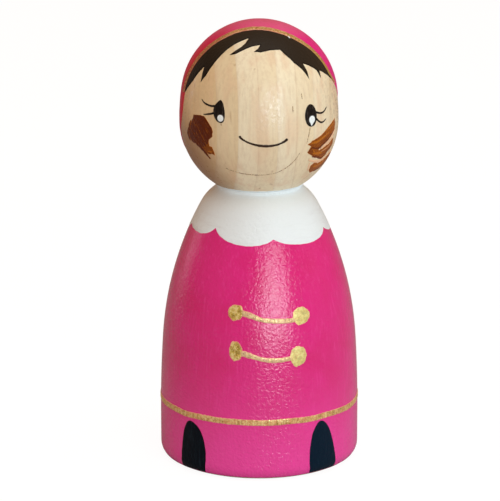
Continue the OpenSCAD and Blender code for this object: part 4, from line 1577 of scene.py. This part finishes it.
class PEGDOLL_OT_paint_gold(bpy.types.Operator):
    """Paint the gold hem line, the buttons and the cords"""

    bl_idname = "peg_doll.paint_gold"
    bl_label = "Paint Hem, Buttons and Cords"

    def execute(self, context):
        doll = context.scene.peg_doll
        films, coat, colours = doll.films, doll.coat, doll.colours
        body = body_outline(doll.wood)
        place = side_chart(body)
        low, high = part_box("hem_band")
        middle = (low.z + high.z) / 2
        hem = ring(
            "hem_line", body,
            lambda turn: middle - coat.hem_width / 2 + self.hem_waver(films, turn, 7.0),
            lambda turn: middle + coat.hem_width / 2 + self.hem_waver(films, turn, 11.0),
            2 * films.columns, HEM_ROWS, films.rim, films.gold, base=films.coat,
        )
        finished(hem, gold_material("Hem Gold", colours), "gold_paint", "hem_band")
        yellow, cream = gold_material("Button Gold", colours), gold_material("Cord Gold", colours)
        for number, (node, buttons) in enumerate(BUTTONS.items()):
            parts = []
            for i, button in enumerate(buttons):
                edge = button_outline(body, button, coat.ragged, 10.0 * number + 3 * i)
                parts.append(patch(
                    f"{node}_{i}", place, edge, films.fine_step, 2 * films.rim, films.gold, base=films.coat
                ))
            finished(joined(node + "_film", parts), yellow, "gold_paint", node)
        widths = [share * coat.cord_width for share in CORD_WIDTHS]
        for number, (node, route) in enumerate(CORDS.items()):
            cord = stroke(
                node + "_film", place, side_spots(body, route), widths, films.fine_step, 0.9 * films.gold,
                ragged=0.16, seed=20.0 + number, base=films.coat,
            )
            finished(cord, cream, "gold_paint", node)
        return {"FINISHED"}

    def hem_waver(self, films, turn, seed):
        """Slow drift and small jags of the hem line's edges."""
        slow = waver_around(turn, 1.6 * films.waver, 3.0, 5.0)
        return slow + waver_around(turn, 0.9 * films.waver, 60.0, seed)


class PEGDOLL_OT_paint_boots(bpy.types.Operator):
    """Paint the two dark boots on the lower edge of the coat"""

    bl_idname = "peg_doll.paint_boots"
    bl_label = "Paint Boots"

    def execute(self, context):
        doll = context.scene.peg_doll
        films = doll.films
        body = body_outline(doll.wood)
        material = paint_material("Boot Paint", doll.colours)
        relief = brush_ridges(0.5 * films.ridge, 0.8 * MM, 4 * MM, 31.0)
        for number, (node, table) in enumerate(BOOTS.items()):
            upper = smooth_line(side_spots(body, table), 0.4 * MM)
            edge = wavered(dense_line(upper, 0.4 * MM), 0.5 * films.waver, 1.2 * MM, 30.0 + number)
            boot = patch(
                node + "_film", side_chart(body), edge, 0.35 * MM, films.rim, films.dark, base=films.coat,
                relief=relief,
            )
            finished(boot, material, "boot_paint", node)
        return {"FINISHED"}


def hood_cut(head, hood, back, sweep):
    """Point where the hood's leaning edge plane, moved back, meets the head, at a sweep from the top."""
    across = Vector((math.cos(hood.turn), -math.sin(hood.turn), 0.0))
    level = math.cos(hood.lean)
    normal = Vector((level * math.sin(hood.turn), level * math.cos(hood.turn), math.sin(hood.lean)))
    upward = across.cross(normal)
    share = held((sweep - hood.swell_start) / (hood.swell_end - hood.swell_start))
    reach = hood.reach + hood.swell * share**2 * (3 - 2 * share)
    middle = Vector((0.0, back - reach, head.top)) - upward * (head.top - head.arcs[0].z)
    way = across * math.sin(sweep) + upward * math.cos(sweep)
    near, far = 0.0, 2 * head.widest
    for _ in range(HALVINGS):
        half = (near + far) / 2
        point = middle + way * half
        beyond = point.z > head.top or math.hypot(point.x, point.y) > head.at_height(point.z).radius
        near, far = (near, half) if beyond else (half, far)
    return turned_back(head, hood, middle + way * near)


def turned_back(head, hood, point):
    """Point of the hood's edge, moved round the head where the edge turns back at the temples."""
    bend, distance = (hood.left_bend, hood.left_back) if point.x < 0 else (hood.right_bend, hood.right_back)
    share = held((bend - point.z) / hood.bend_reach)
    share = share**2 / (share + hood.bend_ease)
    y = point.y + distance * share * (2 - share)
    x = math.sqrt(max(head.at_height(point.z).radius**2 - y**2, 0.0))
    return Vector((math.copysign(x, point.x), y, point.z))


def hood_line(head, hood, back, left_end, right_end, steps):
    """Points of the hood's edge from a height on the left, over the top, to a height on the right."""
    kept = []
    for i in range(SWEEP_STEPS + 1):
        sweep = math.radians(WIDEST_SWEEP * (2 * i / SWEEP_STEPS - 1))
        if hood_cut(head, hood, back, sweep).z >= (left_end if sweep < 0 else right_end):
            kept.append(sweep)
    first, last = kept[0], kept[-1]
    return [hood_cut(head, hood, back, first + (last - first) * i / steps) for i in range(steps + 1)]


class PEGDOLL_OT_paint_hood(bpy.types.Operator):
    """Paint the pink hood and the gold trim along its edge"""

    bl_idname = "peg_doll.paint_hood"
    bl_label = "Paint Hood and Trim"

    def execute(self, context):
        doll = context.scene.peg_doll
        films = doll.films
        head = head_outline(doll.wood)
        place = crown_chart(head)
        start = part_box("hood")[0].z
        line = hood_line(head, doll.hood, 0.0, start, start, HOOD_STEPS)
        edge = [crown_spot(head, point) for point in line]
        edge = wavered(edge, 0.4 * films.waver, 1.5 * MM, 40.0)
        away = head.length - head.length_at(start)
        left, right = turn_of(edge[0]) % (2 * math.pi), turn_of(edge[-1])
        turns = [right + (left - right) * i / LOWER_STEPS for i in range(1, LOWER_STEPS)]
        cover = patch(
            "hood_film", place, edge + [turned_out(away, turn) for turn in turns], films.broad_step,
            films.rim, films.hood - RIDGE_ROOM, relief=brush_ridges(films.ridge, 1.4 * MM, 8 * MM, 41.0),
        )
        finished(cover, paint_material("Hood Paint", doll.colours), "hood_paint", "hood")
        columns = self.trim_columns(head, doll.hood, films.waver)
        trim = strip("hood_trim_film", place, columns, 0.9 * films.gold, base=films.hood - TRIM_SINK)
        finished(trim, gold_material("Trim Gold", doll.colours), "gold_paint", "hood_trim")
        return {"FINISHED"}

    def trim_columns(self, head, hood, waver):
        """Columns of spots across the gold line along the hood's edge, which thins at its right end."""
        front, back = (
            hood_line(head, hood, reach, hood.left_end, hood.right_end, TRIM_STEPS)
            for reach in (0.0, hood.trim_width)
        )
        columns = []
        for i, points in enumerate(zip(front, back)):
            low, high = (crown_spot(head, point) for point in points)
            thinning = max(0.0, i / TRIM_STEPS - TRIM_BREAK_SHARE) / (1 - TRIM_BREAK_SHARE)
            column = []
            for share in ACROSS_SHARES:
                spot = low.lerp(high, (share + 1) / 2 * (1 - hood.trim_thinning * thinning))
                jag = noise.noise(Vector((spot.x / MM, spot.y / MM, 50.0 + share)))
                spot += (high - low).normalized() * jag * waver * abs(share)
                column.append((tuple(spot), 1 - abs(share)))
            columns.append(column)
        return columns


class PEGDOLL_OT_paint_hair(bpy.types.Operator):
    """Paint the hair between the hood's edge and the fringe"""

    bl_idname = "peg_doll.paint_hair"
    bl_label = "Paint Hair"

    def execute(self, context):
        doll = context.scene.peg_doll
        films = doll.films
        head = head_outline(doll.wood)
        middle_z = head.arcs[-1].z
        fringe = []
        for x, z in FRINGE_SHARES:
            spot = head.at_height(middle_z + z * head.widest)
            turn = math.asin(max(-1.0, min(1.0, x * head.widest / spot.radius)))
            fringe.append(crown_spot(head, on_surface(spot, turn, 0.0)))
        ends = [middle_z + z * head.widest for z in (FRINGE_SHARES[0][1], FRINGE_SHARES[-1][1])]
        upper = hood_line(head, doll.hood, doll.coat.overlap, *ends, HAIR_STEPS)
        upper = [crown_spot(head, point) for point in reversed(upper)]
        outline = wavered(dense_line(fringe + upper, 0.25 * MM), 0.5 * films.waver, 0.9 * MM, 60.0)
        hair = patch(
            "hair_film", crown_chart(head), outline, 0.3 * MM, films.rim, films.hair,
            relief=brush_ridges(0.8 * films.ridge, 0.9 * MM, 5 * MM, 61.0),
        )
        finished(hair, paint_material("Hair Paint", doll.colours), "hair_paint", "hair")
        return {"FINISHED"}


class PEGDOLL_OT_paint_eyes(bpy.types.Operator):
    """Paint the eyes, their white dots, the lashes and a fleck of the same white by the trim"""

    bl_idname = "peg_doll.paint_eyes"
    bl_label = "Paint Eyes and Lashes"

    def execute(self, context):
        doll = context.scene.peg_doll
        films = doll.films
        head = head_outline(doll.wood)
        place = side_chart(head)
        black = paint_material("Eye Paint", doll.colours)
        white = paint_material("Glint Paint", doll.colours)
        for node, table in EYES.items():
            edge = smooth_line(side_spots(head, table), 0.1 * MM, closed=True)
            eye = patch(node + "_film", place, edge, films.fine_step, films.rim, films.dark)
            finished(eye, black, "eye_paint", node)
        for node, (turn, height, size) in GLINTS.items():
            middle = side_spots(head, [(turn, height)])[0]
            radius = size / 2 * MM
            edge = [middle + radius * Vector((math.cos(way), math.sin(way))) for way in circle(GLINT_STEPS)]
            parts = [patch(node + "_dot", place, edge, 0.1 * MM, 0.8 * radius, films.stroke, base=films.dark)]
            if node == "right_glint":
                parts.append(
                    self.white_stroke(node + "_tail", head, GLINT_TAIL, TAIL_WIDTHS, films, films.dark)
                )
            finished(joined(node + "_film", parts), white, "glint_paint", node)
        fleck = self.white_stroke("white_fleck", head, WHITE_FLECK, FLECK_WIDTHS, films, films.hood)
        finished(fleck, white, "glint_paint")
        widths = [share * doll.face.lash_width for share in LASH_WIDTHS]
        for node, lines in LASHES.items():
            parts = [
                stroke(
                    f"{node}_{i}", place, side_spots(head, line), widths, 0.12 * MM, films.stroke, ragged=0.1
                )
                for i, line in enumerate(lines)
            ]
            finished(joined(node + "_film", parts), black, "eye_paint", node)
        return {"FINISHED"}

    def white_stroke(self, name, head, table, widths, films, base):
        """Small stroke of white paint on top of another film."""
        sizes = [width * MM for width in widths]
        return stroke(
            name, side_chart(head), side_spots(head, table), sizes, 0.1 * MM, films.stroke, base=base
        )


class PEGDOLL_OT_paint_mouth(bpy.types.Operator):
    """Paint the thin smiling mouth"""

    bl_idname = "peg_doll.paint_mouth"
    bl_label = "Paint Mouth"

    def execute(self, context):
        doll = context.scene.peg_doll
        head = head_outline(doll.wood)
        widths = [share * doll.face.mouth_line for share in MOUTH_WIDTHS]
        mouth = stroke(
            "mouth_film", side_chart(head), side_spots(head, MOUTH), widths, 0.15 * MM, doll.films.stroke,
            ragged=0.14, seed=70.0,
        )
        finished(mouth, paint_material("Mouth Paint", doll.colours), "eye_paint", "mouth")
        return {"FINISHED"}


class PEGDOLL_OT_paint_cheeks(bpy.types.Operator):
    """Paint the brown brush marks on both cheeks, deeper where thick and orange or rosy where thin"""

    bl_idname = "peg_doll.paint_cheeks"
    bl_label = "Paint Cheeks"

    def execute(self, context):
        doll = context.scene.peg_doll
        films = doll.films
        head = head_outline(doll.wood)
        place = side_chart(head)
        relief = brush_ridges(2 * films.ridge, 0.4 * MM, 0.6 * MM, 81.0)
        for number, node in enumerate(CHEEK_PATCHES):
            parts = []
            for i, (tone, table) in enumerate(CHEEK_PATCHES[node]):
                edge = dense_line(side_spots(head, table), 0.15 * MM)
                edge = wavered(edge, films.waver, 0.7 * MM, 80.0 + number + 0.3 * i)
                parts.append(patch(
                    f"{node}_patch_{i}", place, edge, films.fine_step, films.rim, films.stroke,
                    relief=relief, tone=tone,
                ))
            for i, (tone, widths, table) in enumerate(CHEEK_STROKES[node]):
                parts.append(stroke(
                    f"{node}_stroke_{i}", place, side_spots(head, table), [width * MM for width in widths],
                    films.fine_step, 0.7 * films.stroke, ragged=0.45, seed=85.0 + i,
                    base=0.55 * films.stroke, tone=tone,
                ))
            material = paint_material(node.replace("_", " ").title() + " Paint", doll.colours)
            finished(joined(node + "_film", parts), material, node + "_paint", node)
        return {"FINISHED"}


class PEGDOLL_OT_draw_pencil(bpy.types.Operator):
    """Draw the pencil lines that the paint leaves open"""

    bl_idname = "peg_doll.draw_pencil"
    bl_label = "Draw Pencil Lines"

    def execute(self, context):
        doll = context.scene.peg_doll
        colours = doll.colours
        head = head_outline(doll.wood)
        widths = [share * doll.face.pencil_line for share in PENCIL_WIDTHS]
        parts = [
            stroke(
                f"pencil_{i}", side_chart(head), side_spots(head, line), widths, 0.2 * MM,
                doll.films.pencil, ragged=0.3, seed=90.0 + i,
            )
            for i, line in enumerate(PENCIL_LINES)
        ]
        material, board, shader, place = new_material("Pencil", {"Roughness": 0.6})
        grit = board.ease(board.noise(place, 4000.0), 0.35, 0.65)
        board.feed(shader["Base Color"], board.mix(grit, opaque(colours.pencil), opaque(colours.wood_band)))
        finished(joined("pencil_lines", parts), material, "eye_paint")
        return {"FINISHED"}


class PEGDOLL_OT_scatter_flakes(bpy.types.Operator):
    """Scatter bright flakes over all the gold paint"""

    bl_idname = "peg_doll.scatter_flakes"
    bl_label = "Scatter Gold Flakes"

    def execute(self, context):
        colours = context.scene.peg_doll.colours
        names = ["hem_line", "hood_trim_film", *(node + "_film" for node in (*BUTTONS, *CORDS))]
        mesh = merged_mesh("gold_under_flakes", [bpy.data.objects[name] for name in names])
        values = {"Roughness": 0.3, "Metallic": 0.8}
        material, board, shader, place = new_material("Gold Flakes", values)
        bright = board.ease(board.noise(place, 2500.0, 1.0), 0.35, 0.65)
        board.feed(shader["Base Color"], board.mix(bright, opaque(colours.line), opaque(colours.gold_pale)))
        inputs = {"Density": FLAKE_DENSITY / MM**2, "Material": material}
        flakes = grown(new_object("gold_under_flakes", mesh), "gold_flakes", "Gold Flakes", inputs)
        finished(flakes, None, "gold_paint")
        return {"FINISHED"}


class PEGDOLL_PT_sidebar(bpy.types.Panel):
    """Panel that lists the steps of making the doll"""

    bl_idname = "PEGDOLL_PT_sidebar"
    bl_label = "Peg Doll"
    bl_space_type = "VIEW_3D"
    bl_region_type = "UI"
    bl_category = "Peg Doll"

    def draw(self, context):
        for step in STEPS:
            self.layout.operator(step.bl_idname)


class DollSettings(bpy.types.PropertyGroup):
    """All settings of the doll."""

    wood: bpy.props.PointerProperty(type=WoodSettings, name="Wood", description="Turned shapes")
    films: bpy.props.PointerProperty(type=FilmSettings, name="Films", description="Paint films")
    coat: bpy.props.PointerProperty(type=CoatSettings, name="Coat", description="Coat and frogs")
    hood: bpy.props.PointerProperty(type=HoodSettings, name="Hood", description="Hood and trim")
    face: bpy.props.PointerProperty(type=FaceSettings, name="Face", description="Lines on the face")
    colours: bpy.props.PointerProperty(type=ColourSettings, name="Colours", description="Wood and paints")
    studio: bpy.props.PointerProperty(type=StudioSettings, name="Studio", description="Camera and lights")


SETTINGS = (
    WoodSettings, FilmSettings, CoatSettings, HoodSettings, FaceSettings, ColourSettings, StudioSettings,
    DollSettings,
)
STEPS = (
    PEGDOLL_OT_set_stage,
    PEGDOLL_OT_turn_wood,
    PEGDOLL_OT_paint_coat,
    PEGDOLL_OT_paint_collar,
    PEGDOLL_OT_paint_gold,
    PEGDOLL_OT_paint_boots,
    PEGDOLL_OT_paint_hood,
    PEGDOLL_OT_paint_hair,
    PEGDOLL_OT_paint_eyes,
    PEGDOLL_OT_paint_mouth,
    PEGDOLL_OT_paint_cheeks,
    PEGDOLL_OT_draw_pencil,
    PEGDOLL_OT_scatter_flakes,
)
CLASSES = (*SETTINGS, *STEPS, PEGDOLL_PT_sidebar)


def register():
    """Register the classes and hang the settings on the scene."""
    for kind in CLASSES:
        bpy.utils.register_class(kind)
    bpy.types.Scene.peg_doll = bpy.props.PointerProperty(
        type=DollSettings, name="Peg Doll", description="Settings of the peg doll"
    )


def unregister():
    """Take the settings off the scene and unregister the classes."""
    del bpy.types.Scene.peg_doll
    for kind in reversed(CLASSES):
        bpy.utils.unregister_class(kind)


def main():
    """Make the doll step by step."""
    register()
    for step in STEPS:
        category, name = step.bl_idname.split(".")
        getattr(getattr(bpy.ops, category), name)()
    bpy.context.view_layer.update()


if __name__ == "__main__":
    main()
